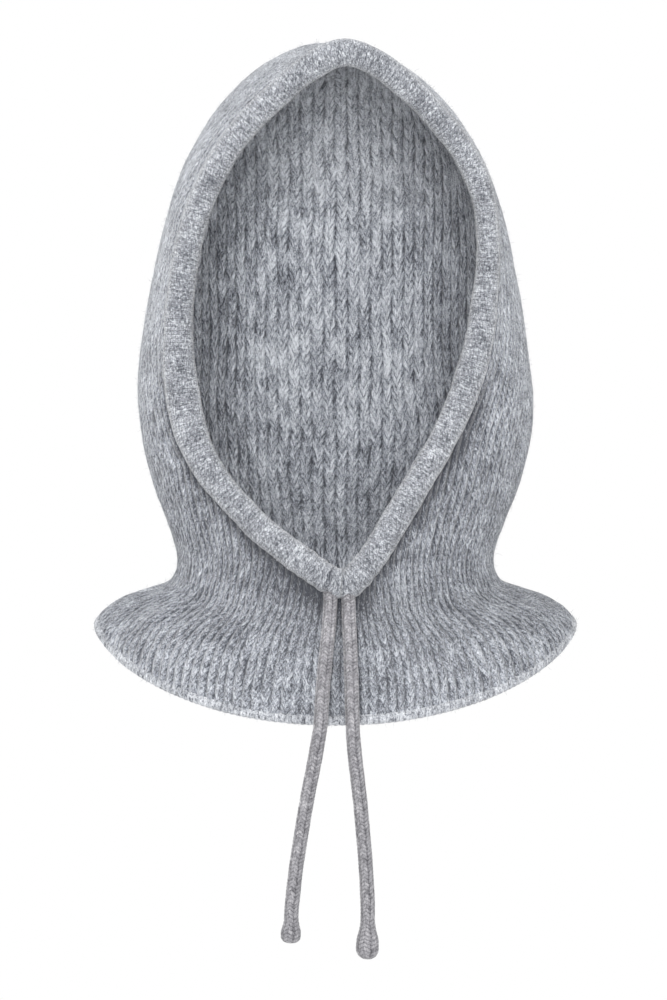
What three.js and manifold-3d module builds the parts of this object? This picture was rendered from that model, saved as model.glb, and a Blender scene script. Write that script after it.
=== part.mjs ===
// Knitted snood hood, in the form that it has when worn: a ribbed knit hood over a narrow neck and a short
// flared cape, a tubular hem round the face opening, and a drawstring that leaves that hem's lowest point.
// Millimetres, +Z up, +X to the right as seen from the front, and the face opening looks along -Y.
// The origin is on the inside of the crown, where the top of the head touches the knit.
import * as THREE from 'three';
import { mergeVertices } from 'three/addons/utils/BufferGeometryUtils.js';
import Module from 'manifold-3d';

// Knit body: overall sizes
const HOOD_HEIGHT = 308; // neck up to the top of the crown, outside
const HOOD_WIDTH = 238; // at the cheeks
const HOOD_FRONT_REACH = 106; // forward of the origin
const HOOD_BACK_REACH = 129; // behind the origin
const NECK_WIDTH = 191;
const NECK_FRONT_REACH = 82;
const NECK_BACK_REACH = 84;
const CAPE_WIDTH = 288;
const CAPE_FRONT_REACH = 116;
const CAPE_BACK_REACH = 112;
const CAPE_SIDE_DROP = 38; // neck down to the hem where it rides on the shoulders
const CAPE_FRONT_DROP = 90; // neck down to the hem at the front
const CAPE_BACK_DROP = 80;

// Knit body: wall and ribs
const KNIT_WALL = 3.2;
const RIB_RELIEF = 1.2; // crest to groove
const HEAD_COLUMNS = 38; // grid lines from the centre back to the side of the face opening
const FRONT_COLUMNS = 12; // grid lines from there to the centre front, which end on the opening's lower edge
const LOWER_ROWS = 8; // grid rows from the hem to the last of those ends
const UPPER_ROWS = 12; // grid rows from there to the crown

// Bound-off edge of the cape
const HEM_BAND = 5.5;
const HEM_THICKNESS = 4.8;

// Tubular hem round the face opening
const OPENING_WIDTH = 178; // between the centre lines of the tube
const OPENING_HEIGHT = 301.6;
const OPENING_REACH = 100; // how far forward its top stands
const OPENING_TOP_DROP = 17.2; // top of the crown down to the centre line of the tube
const OPENING_SHIFT = 3; // the tube's lowest and highest points lie this far to the right
const CASING_WIDTH = 16;
const CASING_DEPTH = 14;
const CASING_WALL = 2;
const CASING_SIDES = 10;

// Drawstring
const CORD_DIAMETER = 7.8;
const CORD_SIDES = 8;
const CORD_STEP = 16; // about two diameters
const SLIT_WIDTH = 24; // opening under the tube, through which both ends of the cord leave
const SLIT_DEPTH = 8.8;
const CORE_TURN = 0.7; // height above the slit at which the cord turns into the tube, in cord diameters
const LEFT_TIP = { diameter: 10.2, length: 14 };
const RIGHT_TIP = { diameter: 12, length: 22 };

// Clearance between pieces that touch
const GAP = 0.3;
const RIM_GAP = 0.5;

// The cape from hem to neck. side, front and back: share of the way from the neck's size to the cape's.
// sideDrop, frontDrop and backDrop: share of the cape's drop. square: exponent of the plan's outline,
// 2 for an ellipse.
const CAPE_ROWS = [
  { side: 1.0, front: 1.0, back: 1.0, sideDrop: 1.0, frontDrop: 1.0, backDrop: 1.0, square: 2.05 },
  { side: 0.93, front: 0.76, back: 0.75, sideDrop: 0.78, frontDrop: 0.77, backDrop: 0.76, square: 2.05 },
  { side: 0.65, front: 0.5, back: 0.46, sideDrop: 0.54, frontDrop: 0.54, backDrop: 0.52, square: 2.1 },
  { side: 0.16, front: 0.24, back: 0.18, sideDrop: 0.33, frontDrop: 0.33, backDrop: 0.3, square: 2.15 },
  { side: 0.04, front: 0.08, back: 0.05, sideDrop: 0.19, frontDrop: 0.19, backDrop: 0.16, square: 2.2 },
  { side: 0.0, front: 0.0, back: 0.0, sideDrop: 0.0, frontDrop: 0.05, backDrop: 0.04, square: 2.2 },
];
const NECK_ROW = CAPE_ROWS[CAPE_ROWS.length - 1];
const CAPE_BEND = 1.2; // how sharply the hem turns down on either side of the shoulder line

// The throat from neck to cheeks. rise: share of the hood's height. sideSwell, frontSwell and backSwell:
// share of the way from the neck's size to the hood's.
const THROAT_ROWS = [
  { rise: 0.032, sideSwell: 0.06, frontSwell: 0.08, backSwell: 0.07, square: 2.2 },
  { rise: 0.081, sideSwell: 0.28, frontSwell: 0.25, backSwell: 0.31, square: 2.25 },
  { rise: 0.155, sideSwell: 0.62, frontSwell: 0.5, backSwell: 0.62, square: 2.3 },
  { rise: 0.249, sideSwell: 0.9, frontSwell: 0.73, backSwell: 0.84, square: 2.35 },
  { rise: 0.34, sideSwell: 0.99, frontSwell: 0.88, backSwell: 0.955, square: 2.45 },
];

// The crown from cheeks to the top seam, as shares of the hood's width, reaches and height. frontFall and
// backFall: how far the row's ends hang below its sides.
const CROWN_ROWS = [
  { rise: 0.454, side: 0.968, front: 0.99, back: 1.0, frontFall: 0.0, backFall: 0.0, square: 2.7 },
  { rise: 0.5675, side: 0.912, front: 1.0, back: 0.992, frontFall: 0.0, backFall: 0.006, square: 3.0 },
  { rise: 0.665, side: 0.853, front: 1.0, back: 0.961, frontFall: 0.0, backFall: 0.012, square: 3.0 },
  { rise: 0.746, side: 0.786, front: 1.0, back: 0.9, frontFall: -0.01, backFall: 0.02, square: 2.9 },
  { rise: 0.811, side: 0.706, front: 0.99, back: 0.812, frontFall: -0.012, backFall: 0.032, square: 2.7 },
  { rise: 0.876, side: 0.597, front: 0.98, back: 0.7, frontFall: 0.0, backFall: 0.04, square: 2.5 },
  { rise: 0.934, side: 0.452, front: 0.96, back: 0.575, frontFall: 0.015, backFall: 0.043, square: 2.35 },
  { rise: 0.973, side: 0.3, front: 0.935, back: 0.465, frontFall: 0.025, backFall: 0.042, square: 2.2 },
  { rise: 0.995, side: 0.15, front: 0.91, back: 0.38, frontFall: 0.031, backFall: 0.038, square: 2.1 },
  { rise: 1.0, side: 0.0, front: 0.897, back: 0.335, frontFall: 0.033, backFall: 0.034, square: 2.0 },
];
const HOOD_BEND = 1.7; // the same for the falls of the hood's rows
const SIDE_REACH = 0.06; // widest point of each row, forward of the origin, as a share of the front reach

// Centre line of the tubular hem from its lowest point up to its highest. left and right: share of half the
// opening's width. leftUp and rightUp: share of its height. reach: share of the forward reach. leftWide and
// rightWide: share of the tube's width.
const RIM_ROWS = [
  { left: 0.0, leftUp: 0.0, right: 0.0, rightUp: 0.0, reach: 0.93, leftWide: 1.06, rightWide: 1.06 },
  { left: 0.258, leftUp: 0.044, right: 0.157, rightUp: 0.032, reach: 0.92, leftWide: 1.03, rightWide: 1.03 },
  { left: 0.506, leftUp: 0.101, right: 0.348, rightUp: 0.118, reach: 0.9, leftWide: 1.0, rightWide: 1.0 },
  { left: 0.697, leftUp: 0.158, right: 0.517, rightUp: 0.203, reach: 0.87, leftWide: 1.0, rightWide: 1.0 },
  { left: 0.854, leftUp: 0.216, right: 0.674, rightUp: 0.281, reach: 0.84, leftWide: 1.06, rightWide: 1.0 },
  { left: 0.966, leftUp: 0.284, right: 0.792, rightUp: 0.363, reach: 0.81, leftWide: 1.19, rightWide: 1.04 },
  { left: 1.022, leftUp: 0.357, right: 0.882, rightUp: 0.446, reach: 0.79, leftWide: 1.25, rightWide: 1.05 },
  { left: 1.05, leftUp: 0.45, right: 0.929, rightUp: 0.539, reach: 0.78, leftWide: 1.1, rightWide: 0.97 },
  { left: 1.034, leftUp: 0.549, right: 0.952, rightUp: 0.632, reach: 0.79, leftWide: 1.0, rightWide: 0.86 },
  { left: 0.972, leftUp: 0.657, right: 0.916, rightUp: 0.735, reach: 0.82, leftWide: 0.95, rightWide: 0.86 },
  { left: 0.854, leftUp: 0.755, right: 0.798, rightUp: 0.814, reach: 0.86, leftWide: 0.93, rightWide: 0.9 },
  { left: 0.674, leftUp: 0.844, right: 0.607, rightUp: 0.886, reach: 0.91, leftWide: 0.93, rightWide: 0.9 },
  { left: 0.427, leftUp: 0.919, right: 0.36, rightUp: 0.955, reach: 0.955, leftWide: 0.95, rightWide: 0.93 },
  { left: 0.18, leftUp: 0.977, right: 0.152, rightUp: 0.993, reach: 0.99, leftWide: 0.98, rightWide: 0.97 },
  { left: 0.0, leftUp: 1.0, right: 0.0, rightUp: 1.0, reach: 1.0, leftWide: 1.0, rightWide: 1.0 },
];
const RIM_TURN = 0.3; // share of the rim, from its lowest point, on which the front columns end
// Where the wall of the body meets the back of the tube, in degrees behind the tube's outer side
const RIM_OUTER_ANGLE = 38;
const RIM_INNER_ANGLE = 62;

// Section of the bound-off edge. along: share of the band from its top to its bottom. out: share of half its
// thickness from the middle of the wall.
const HEM_SECTION = [
  { along: 0.0, out: 0.8 },
  { along: 0.6, out: 1.0 },
  { along: 1.0, out: 0.5 },
  { along: 1.0, out: -0.5 },
  { along: 0.6, out: -1.0 },
  { along: 0.0, out: -0.8 },
];

// Profile of the closed end of the cord. along: share of its length. round: share of the way from the cord's
// radius to the tip's, or, past the widest point, share of the tip's radius.
const TIP_PROFILE = [
  { along: 0.0, swell: 0.0, round: 1.0 },
  { along: 0.2, swell: 0.35, round: 1.0 },
  { along: 0.5, swell: 0.9, round: 1.0 },
  { along: 0.75, swell: 1.0, round: 0.98 },
  { along: 0.92, swell: 1.0, round: 0.68 },
];

// Routes of the two free ends, from the slit under the tube down over the front of the cape to the tips
const LEFT_CORD_ROUTE = [
  [-2.9, -93.5, -320.0],
  [-2.9, -93.6, -326.5],
  [-3.5, -97.0, -336.0],
  [-4.3, -101.4, -345.5],
  [-5.6, -106.8, -357.5],
  [-6.8, -112.4, -370.0],
  [-7.7, -118.0, -383.0],
  [-8.6, -122.6, -396.0],
  [-10.1, -123.9, -405.0],
  [-11.8, -124.0, -414.6],
  [-15.7, -123.6, -434.8],
  [-19.1, -123.0, -455.0],
  [-22.2, -122.4, -475.2],
  [-24.4, -121.9, -495.4],
  [-24.8, -121.8, -503.0],
];
const RIGHT_CORD_ROUTE = [
  [7.4, -93.5, -320.0],
  [7.4, -93.6, -326.5],
  [7.7, -97.0, -336.0],
  [8.1, -101.4, -345.5],
  [8.6, -106.8, -357.5],
  [9.0, -112.4, -370.0],
  [9.3, -118.0, -383.0],
  [9.7, -122.6, -396.0],
  [10.3, -123.9, -405.0],
  [11.2, -124.0, -414.6],
  [13.6, -123.6, -434.8],
  [15.5, -123.0, -455.0],
  [17.1, -122.4, -475.2],
  [18.1, -121.9, -495.4],
  [18.1, -121.8, -504.0],
];

const CROWN_TOP = KNIT_WALL;
const NECK_HEIGHT = CROWN_TOP - HOOD_HEIGHT;
const OPENING_TOP = CROWN_TOP - OPENING_TOP_DROP;
const OPENING_BOTTOM = OPENING_TOP - OPENING_HEIGHT;
const FORWARD = new THREE.Vector3(0, -1, 0);

const wasm = await Module();
wasm.setup();

const mix = (from, to, share) => from + (to - from) * share;
const radians = (degrees) => (degrees * Math.PI) / 180;

// A smooth value through the rows of a table (Catmull-Rom), for every column at once
function sampleRows(rows, position, closed = false) {
  const count = rows.length;
  const place = closed ? position : Math.min(Math.max(position, 0), count - 1);
  const first = closed ? Math.floor(place) : Math.min(Math.floor(place), count - 2);
  const t = place - first;
  const pick = (index) => {
    if (closed) return rows[((index % count) + count) % count];
    return rows[Math.min(Math.max(index, 0), count - 1)];
  };
  const [before, from, to, after] = [pick(first - 1), pick(first), pick(first + 1), pick(first + 2)];
  const sample = {};
  for (const name of Object.keys(from)) {
    const [a, b, c, d] = [before[name], from[name], to[name], after[name]];
    const cubic = (3 * b - a - 3 * c + d) * t * t * t;
    const square = (2 * a - 5 * b + 4 * c - d) * t * t;
    sample[name] = 0.5 * (2 * b + (c - a) * t + square + cubic);
  }
  return sample;
}

// Every row of the body in millimetres, hem first, crown seam last
function bodyLevels() {
  const cape = CAPE_ROWS.map((row) => ({
    halfWidth: mix(NECK_WIDTH, CAPE_WIDTH, row.side) / 2,
    sideY: 0,
    sideZ: NECK_HEIGHT - CAPE_SIDE_DROP * row.sideDrop,
    frontY: -mix(NECK_FRONT_REACH, CAPE_FRONT_REACH, row.front),
    frontZ: NECK_HEIGHT - CAPE_FRONT_DROP * row.frontDrop,
    backY: mix(NECK_BACK_REACH, CAPE_BACK_REACH, row.back),
    backZ: NECK_HEIGHT - CAPE_BACK_DROP * row.backDrop,
    square: row.square,
    bend: CAPE_BEND,
  }));
  const throat = THROAT_ROWS.map((row, index) => {
    const height = NECK_HEIGHT + HOOD_HEIGHT * row.rise;
    const share = (index + 1) / THROAT_ROWS.length;
    return {
      halfWidth: mix(NECK_WIDTH, HOOD_WIDTH, row.sideSwell) / 2,
      sideY: -HOOD_FRONT_REACH * SIDE_REACH * share,
      sideZ: height,
      frontY: -mix(NECK_FRONT_REACH, HOOD_FRONT_REACH, row.frontSwell),
      frontZ: height - CAPE_FRONT_DROP * NECK_ROW.frontDrop * (1 - share),
      backY: mix(NECK_BACK_REACH, HOOD_BACK_REACH, row.backSwell),
      backZ: height - CAPE_BACK_DROP * NECK_ROW.backDrop * (1 - share),
      square: row.square,
      bend: mix(CAPE_BEND, HOOD_BEND, share),
    };
  });
  const crown = CROWN_ROWS.map((row) => ({
    halfWidth: (HOOD_WIDTH / 2) * row.side,
    sideY: -HOOD_FRONT_REACH * SIDE_REACH,
    sideZ: NECK_HEIGHT + HOOD_HEIGHT * row.rise,
    frontY: -HOOD_FRONT_REACH * row.front,
    frontZ: NECK_HEIGHT + HOOD_HEIGHT * (row.rise - row.frontFall),
    backY: HOOD_BACK_REACH * row.back,
    backZ: NECK_HEIGHT + HOOD_HEIGHT * (row.rise - row.backFall),
    square: row.square,
    bend: HOOD_BEND,
  }));
  return [...cape, ...throat, ...crown];
}

const LEVELS = bodyLevels();
const TOP_LEVEL = LEVELS.length - 1;

// A point of the body's outer face as if it had no face opening. angle runs from 0 at the centre back to
// half a turn at the centre front, on the +X side.
function closedSurface(angle, level) {
  const row = sampleRows(LEVELS, level);
  const [across, along] = [Math.sin(angle), Math.abs(Math.cos(angle))];
  const radius = (Math.abs(across) ** row.square + along ** row.square) ** (-1 / row.square);
  const isBack = angle < Math.PI / 2;
  const endY = isBack ? row.backY : row.frontY;
  const endZ = isBack ? row.backZ : row.frontZ;
  return new THREE.Vector3(
    Math.max(row.halfWidth, 0) * radius * across,
    mix(row.sideY, endY, radius * along),
    mix(row.sideZ, endZ, (radius * along) ** row.bend),
  );
}

// The level that lies a given distance up from the hem
function levelAboveHem(angle, distance) {
  const hem = closedSurface(angle, 0);
  let [low, high] = [0, 2];
  for (let pass = 0; pass < 30; pass += 1) {
    const middle = (low + high) / 2;
    if (closedSurface(angle, middle).distanceTo(hem) < distance) low = middle;
    else high = middle;
  }
  return high;
}

// Bottom and top of the bound-off edge on the outer face, and its upward and outward directions
function hemFrame(angle) {
  const [bottom, beside] = [closedSurface(angle, 0), closedSurface(angle + 0.01, 0)];
  const top = closedSurface(angle, levelAboveHem(angle, HEM_BAND));
  const up = new THREE.Vector3().subVectors(top, bottom).normalize();
  const across = new THREE.Vector3().subVectors(beside, bottom).normalize();
  const outward = new THREE.Vector3().crossVectors(up, across).normalize();
  return { bottom, top, up, outward };
}

// The closed loop of the tube's centre line: lowest point, left side, highest point, right side
function rimLoop() {
  const place = (row, side, out, up, wide) => ({
    x: OPENING_SHIFT + side * out * (OPENING_WIDTH / 2),
    y: -OPENING_REACH * row.reach,
    z: OPENING_BOTTOM + OPENING_HEIGHT * up,
    wide: CASING_WIDTH * wide,
  });
  const left = RIM_ROWS.map((row) => place(row, -1, row.left, row.leftUp, row.leftWide));
  const right = RIM_ROWS.map((row) => place(row, 1, row.right, row.rightUp, row.rightWide));
  return [...left, ...right.slice(1, -1).reverse()];
}

const LOOP = rimLoop();
const HALF_LOOP = RIM_ROWS.length - 1;

// Centre, outward and forward directions of the tube at a place on the loop
function rimFrame(place) {
  const step = 0.02;
  const here = sampleRows(LOOP, place, true);
  const ahead = sampleRows(LOOP, place + step, true);
  const behind = sampleRows(LOOP, place - step, true);
  const centre = new THREE.Vector3(here.x, here.y, here.z);
  const tangent = new THREE.Vector3(ahead.x - behind.x, ahead.y - behind.y, ahead.z - behind.z).normalize();
  const outward = new THREE.Vector3().crossVectors(FORWARD, tangent).normalize();
  const forward = new THREE.Vector3().crossVectors(tangent, outward).normalize();
  return { centre, outward, forward, wide: here.wide };
}

// A point of an ellipse round the tube's centre line, grown or shrunk by an offset
function rimPoint(place, angle, offset) {
  const { centre, outward, forward, wide } = rimFrame(place);
  return centre
    .clone()
    .addScaledVector(outward, (wide / 2 + offset) * Math.cos(angle))
    .addScaledVector(forward, (CASING_DEPTH / 2 + offset) * Math.sin(angle));
}

const loopPlace = (side, share) => (side < 0 ? share * HALF_LOOP : (2 - share) * HALF_LOOP);
const rimEdge = (side, share, degrees) => rimPoint(loopPlace(side, share), -radians(degrees), RIM_GAP);

// The level and the angle at which the closed surface passes a point of the rim
function meetRim(side, share) {
  const edge = rimEdge(side, share, RIM_OUTER_ANGLE);
  const out = Math.max(side * (edge.x - OPENING_SHIFT), 0);
  const angleAt = (level) => {
    const row = sampleRows(LEVELS, level);
    const across = Math.min(out / Math.max(row.halfWidth, 1e-6), 1);
    const along = (1 - across ** row.square) ** (1 / row.square);
    return Math.PI - Math.atan2(across, along);
  };
  let [low, high] = [0, TOP_LEVEL];
  for (let pass = 0; pass < 40; pass += 1) {
    const middle = (low + high) / 2;
    if (closedSurface(angleAt(middle), middle).z < edge.z) low = middle;
    else high = middle;
  }
  return { share, level: high, angle: angleAt(high) };
}

// The rim of one side, sampled from the lowest point of the opening up to its highest
function traceRim(side) {
  const samples = 240;
  const trace = [];
  for (let index = 0; index <= samples; index += 1) trace.push(meetRim(side, index / samples));
  trace[0].angle = Math.PI;
  trace[samples] = { share: 1, level: TOP_LEVEL, angle: Math.PI };
  const turn = Math.round(RIM_TURN * samples);
  return { lower: trace.slice(0, turn + 1), upper: trace.slice(turn), turning: trace[turn] };
}

// The place on a trace where one of its values reaches a target
function findOnTrace(trace, name, target) {
  const rising = trace[trace.length - 1][name] > trace[0][name];
  const passed = (item) => (rising ? item[name] >= target : item[name] <= target);
  const index = Math.max(trace.findIndex(passed), 1);
  const [from, to] = [trace[index - 1], trace[index]];
  const span = to[name] - from[name];
  const t = span === 0 ? 1 : Math.min(Math.max((target - from[name]) / span, 0), 1);
  return {
    share: mix(from.share, to.share, t),
    level: mix(from.level, to.level, t),
    angle: mix(from.angle, to.angle, t),
  };
}

// The body of one side as a grid. Column 0 is the centre back, the last one the centre front. The columns
// under the face opening end on its lower edge, and the others rise to the crown seam, the last of them
// along the rim. Points near the rim are moved with it, less and less towards the hem and the centre back.
function bodySide(side) {
  const trace = traceRim(side);
  const { turning } = trace;
  const lastColumn = HEAD_COLUMNS + FRONT_COLUMNS;
  const lastRow = LOWER_ROWS + UPPER_ROWS;
  const place = (angle, level) => {
    const point = closedSurface(angle, level);
    return new THREE.Vector3(side * point.x, point.y, point.z);
  };
  const shiftTo = (spot) => rimEdge(side, spot.share, RIM_OUTER_ANGLE).sub(place(spot.angle, spot.level));
  const turningShift = shiftTo(turning);
  const columns = [];
  for (let column = 0; column <= lastColumn; column += 1) {
    const inHead = column <= HEAD_COLUMNS;
    const frontShare = (column - HEAD_COLUMNS) / FRONT_COLUMNS;
    const share = inHead ? column / HEAD_COLUMNS : 1;
    const lowerAngle = inHead ? turning.angle * share : mix(turning.angle, Math.PI, frontShare);
    const end = inHead ? turning : findOnTrace(trace.lower, 'angle', lowerAngle);
    const endShift = inHead ? turningShift : shiftTo(end);
    const start = levelAboveHem(lowerAngle, HEM_BAND + GAP);
    const hem = hemFrame(lowerAngle);
    const hemOutward = new THREE.Vector3(side * hem.outward.x, hem.outward.y, hem.outward.z);
    const points = [];
    const rows = inHead ? lastRow : LOWER_ROWS;
    for (let row = 0; row <= rows; row += 1) {
      const isLower = row <= LOWER_ROWS;
      const lowerShare = row / LOWER_ROWS;
      const upperLevel = mix(turning.level, TOP_LEVEL, (row - LOWER_ROWS) / UPPER_ROWS);
      const level = isLower ? mix(start, end.level, lowerShare) : upperLevel;
      const spot = isLower ? null : findOnTrace(trace.upper, 'level', level);
      const angle = isLower ? lowerAngle : spot.angle * share;
      const shift = isLower ? endShift : shiftTo(spot);
      const fade = (isLower ? lowerShare ** 3 : 1) * (inHead ? share ** 4 : 1);
      const point = place(angle, level).addScaledVector(shift, fade);
      const onRim = (!inHead && row === LOWER_ROWS) || (column === HEAD_COLUMNS && row >= LOWER_ROWS);
      const rimShare = isLower ? end.share : spot.share;
      points.push({ point, onRim, rimShare, edgeNormal: row === 0 ? hemOutward : null });
    }
    columns.push(points);
  }
  return columns;
}

const SIDES = { '-1': bodySide(-1), 1: bodySide(1) };

// A closed solid from points and triangles. A negative volume means faces that point in, so they are turned.
function solidGeometry(points, triangles) {
  let volume = 0;
  for (const [a, b, c] of triangles) {
    volume += points[a].dot(new THREE.Vector3().crossVectors(points[b], points[c])) / 6;
  }
  const faces = volume < 0 ? triangles.map(([a, b, c]) => [a, c, b]) : triangles;
  const geometry = new THREE.BufferGeometry();
  const positions = points.flatMap((point) => [point.x, point.y, point.z]);
  geometry.setAttribute('position', new THREE.Float32BufferAttribute(positions, 3));
  geometry.setIndex(faces.flat());
  geometry.computeVertexNormals();
  return geometry;
}

// Crown, sides, neck and cape: one corrugated wall, open at the hem and round the face
function knitBody() {
  const lastColumn = HEAD_COLUMNS + FRONT_COLUMNS;
  const lastRow = LOWER_ROWS + UPPER_ROWS;
  const spots = [];
  const indexOf = new Map();
  const indexAt = (side, column, row) => {
    const isShared = column === 0 || column === lastColumn || row === lastRow;
    const key = `${isShared ? 0 : side},${column},${row}`;
    if (!indexOf.has(key)) {
      indexOf.set(key, spots.length);
      const isEdge = row === 0 || row === lastRow;
      spots.push({ ...SIDES[side][column][row], side, column, isEdge });
    }
    return indexOf.get(key);
  };
  const faces = [];
  const edges = [];
  for (const side of [-1, 1]) {
    const order = (a, b) => (side > 0 ? [a, b] : [b, a]);
    for (let column = 0; column < lastColumn; column += 1) {
      const inHead = column < HEAD_COLUMNS;
      const rows = inHead ? lastRow : LOWER_ROWS;
      for (let row = 0; row < rows; row += 1) {
        const [a, b] = [indexAt(side, column, row), indexAt(side, column + 1, row)];
        const [c, d] = [indexAt(side, column + 1, row + 1), indexAt(side, column, row + 1)];
        const quad = side > 0 ? [a, d, c, b] : [a, b, c, d];
        faces.push([quad[0], quad[1], quad[2]], [quad[0], quad[2], quad[3]]);
      }
      edges.push(order(indexAt(side, column, 0), indexAt(side, column + 1, 0)));
      if (!inHead) {
        edges.push(order(indexAt(side, column + 1, LOWER_ROWS), indexAt(side, column, LOWER_ROWS)));
      }
    }
    for (let row = LOWER_ROWS; row < lastRow; row += 1) {
      edges.push(order(indexAt(side, HEAD_COLUMNS, row), indexAt(side, HEAD_COLUMNS, row + 1)));
    }
  }
  const normals = spots.map(() => new THREE.Vector3());
  for (const [a, b, c] of faces) {
    const along = new THREE.Vector3().subVectors(spots[b].point, spots[a].point);
    const across = new THREE.Vector3().subVectors(spots[c].point, spots[a].point);
    const normal = along.cross(across);
    for (const index of [a, b, c]) normals[index].add(normal);
  }
  spots.forEach((spot, index) => normals[index].copy(spot.edgeNormal ?? normals[index].normalize()));
  const outer = spots.map((spot, index) => {
    const relief = spot.onRim || spot.isEdge ? 0 : (RIB_RELIEF / 2) * (spot.column % 2 ? -1 : 1);
    return spot.point.clone().addScaledVector(normals[index], relief);
  });
  const inner = spots.map((spot, index) => {
    if (spot.onRim) return rimEdge(spot.side, spot.rimShare, RIM_INNER_ANGLE);
    return outer[index].clone().addScaledVector(normals[index], -KNIT_WALL);
  });
  const count = spots.length;
  const triangles = [...faces, ...faces.map(([a, b, c]) => [a + count, c + count, b + count])];
  for (const [a, b] of edges) triangles.push([a, b, b + count], [a, b + count, a + count]);
  return solidGeometry([...outer, ...inner], triangles);
}

// A ring or a rod through equal sections, closed on itself or capped at both ends
function sweepGeometry(sections, closed) {
  const size = sections[0].length;
  const points = sections.flat();
  const triangles = [];
  const spans = closed ? sections.length : sections.length - 1;
  for (let span = 0; span < spans; span += 1) {
    const [from, to] = [span * size, ((span + 1) % sections.length) * size];
    for (let side = 0; side < size; side += 1) {
      const next = (side + 1) % size;
      triangles.push([from + side, from + next, to + next], [from + side, to + next, to + side]);
    }
  }
  if (!closed) {
    const end = (sections.length - 1) * size;
    for (let side = 1; side < size - 1; side += 1) {
      triangles.push([0, side + 1, side], [end, end + side, end + side + 1]);
    }
  }
  return solidGeometry(points, triangles);
}

// The bound-off edge: a slightly thicker roll that continues the body's wall down to the hem
function hemEdge() {
  const sections = [];
  for (const side of [1, -1]) {
    const { turning } = traceRim(side);
    const lines = [];
    for (let column = 0; column <= HEAD_COLUMNS + FRONT_COLUMNS; column += 2) {
      const inHead = column <= HEAD_COLUMNS;
      const frontShare = (column - HEAD_COLUMNS) / FRONT_COLUMNS;
      lines.push(inHead ? (turning.angle * column) / HEAD_COLUMNS : mix(turning.angle, Math.PI, frontShare));
    }
    const rings = lines.map((angle) => {
      const { bottom, top, outward } = hemFrame(angle);
      return HEM_SECTION.map(({ along, out }) => {
        const depth = (HEM_THICKNESS / 2) * out - KNIT_WALL / 2;
        const point = top.clone().lerp(bottom, along).addScaledVector(outward, depth);
        return new THREE.Vector3(side * point.x, point.y, point.z);
      });
    });
    sections.push(...(side > 0 ? rings : rings.slice(1, -1).reverse()));
  }
  return sweepGeometry(sections, true);
}

// Places on the loop where the body's grid meets the tube, so that both have their corners together
function loopStations() {
  const places = [];
  for (const side of [-1, 1]) {
    const fronts = SIDES[side].slice(HEAD_COLUMNS + 1, -1).map((column) => column[LOWER_ROWS]);
    const rims = [...fronts.reverse(), ...SIDES[side][HEAD_COLUMNS].slice(LOWER_ROWS, -1)];
    const upward = rims.map((spot) => loopPlace(side, spot.rimShare));
    places.push(...(side < 0 ? [0, ...upward] : [HALF_LOOP, ...upward.reverse()]));
  }
  return places;
}

const STATIONS = loopStations();

function rimTube(offset, sides) {
  const sections = STATIONS.map((place) => {
    const ring = [];
    for (let side = 0; side < sides; side += 1) {
      ring.push(rimPoint(place, (side / sides) * 2 * Math.PI, offset));
    }
    return ring;
  });
  return sweepGeometry(sections, true);
}

function manifoldOf(geometry) {
  const bare = geometry.clone();
  bare.deleteAttribute('normal');
  bare.deleteAttribute('uv');
  const merged = mergeVertices(bare);
  const vertProperties = new Float32Array(merged.attributes.position.array);
  const triVerts = new Uint32Array(merged.index.array);
  return new wasm.Manifold(new wasm.Mesh({ numProp: 3, vertProperties, triVerts }));
}

function geometryOf(manifold) {
  const { vertProperties, triVerts, numProp } = manifold.getMesh();
  const geometry = new THREE.BufferGeometry();
  const positions = [];
  for (let index = 0; index < vertProperties.length; index += numProp) {
    positions.push(vertProperties[index], vertProperties[index + 1], vertProperties[index + 2]);
  }
  geometry.setAttribute('position', new THREE.Float32BufferAttribute(positions, 3));
  geometry.setIndex(Array.from(triVerts));
  geometry.computeVertexNormals();
  return geometry;
}

// The tubular hem: a hollow ring, slit underneath at its lowest point
function faceCasing() {
  const skin = manifoldOf(rimTube(0, CASING_SIDES));
  const duct = manifoldOf(rimTube(-CASING_WALL, CORD_SIDES));
  const slitHeight = CASING_WIDTH;
  const slitTop = OPENING_BOTTOM + CORD_DIAMETER / 2;
  const box = new THREE.BoxGeometry(SLIT_WIDTH, SLIT_DEPTH, slitHeight);
  const middle = (LEFT_CORD_ROUTE[0][0] + RIGHT_CORD_ROUTE[0][0]) / 2;
  box.translate(middle, LEFT_CORD_ROUTE[0][1], slitTop - slitHeight / 2);
  return geometryOf(skin.subtract(duct).subtract(manifoldOf(box)));
}

// A round section of the cord, square to a direction
function cordSection(centre, direction, diameter) {
  const sideways = new THREE.Vector3().crossVectors(direction, FORWARD).normalize();
  const onward = new THREE.Vector3().crossVectors(sideways, direction).normalize();
  const ring = [];
  for (let side = 0; side < CORD_SIDES; side += 1) {
    const angle = ((side + 0.5) / CORD_SIDES) * 2 * Math.PI;
    ring.push(
      centre
        .clone()
        .addScaledVector(sideways, (diameter / 2) * Math.cos(angle))
        .addScaledVector(onward, (diameter / 2) * Math.sin(angle)),
    );
  }
  return ring;
}

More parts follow.
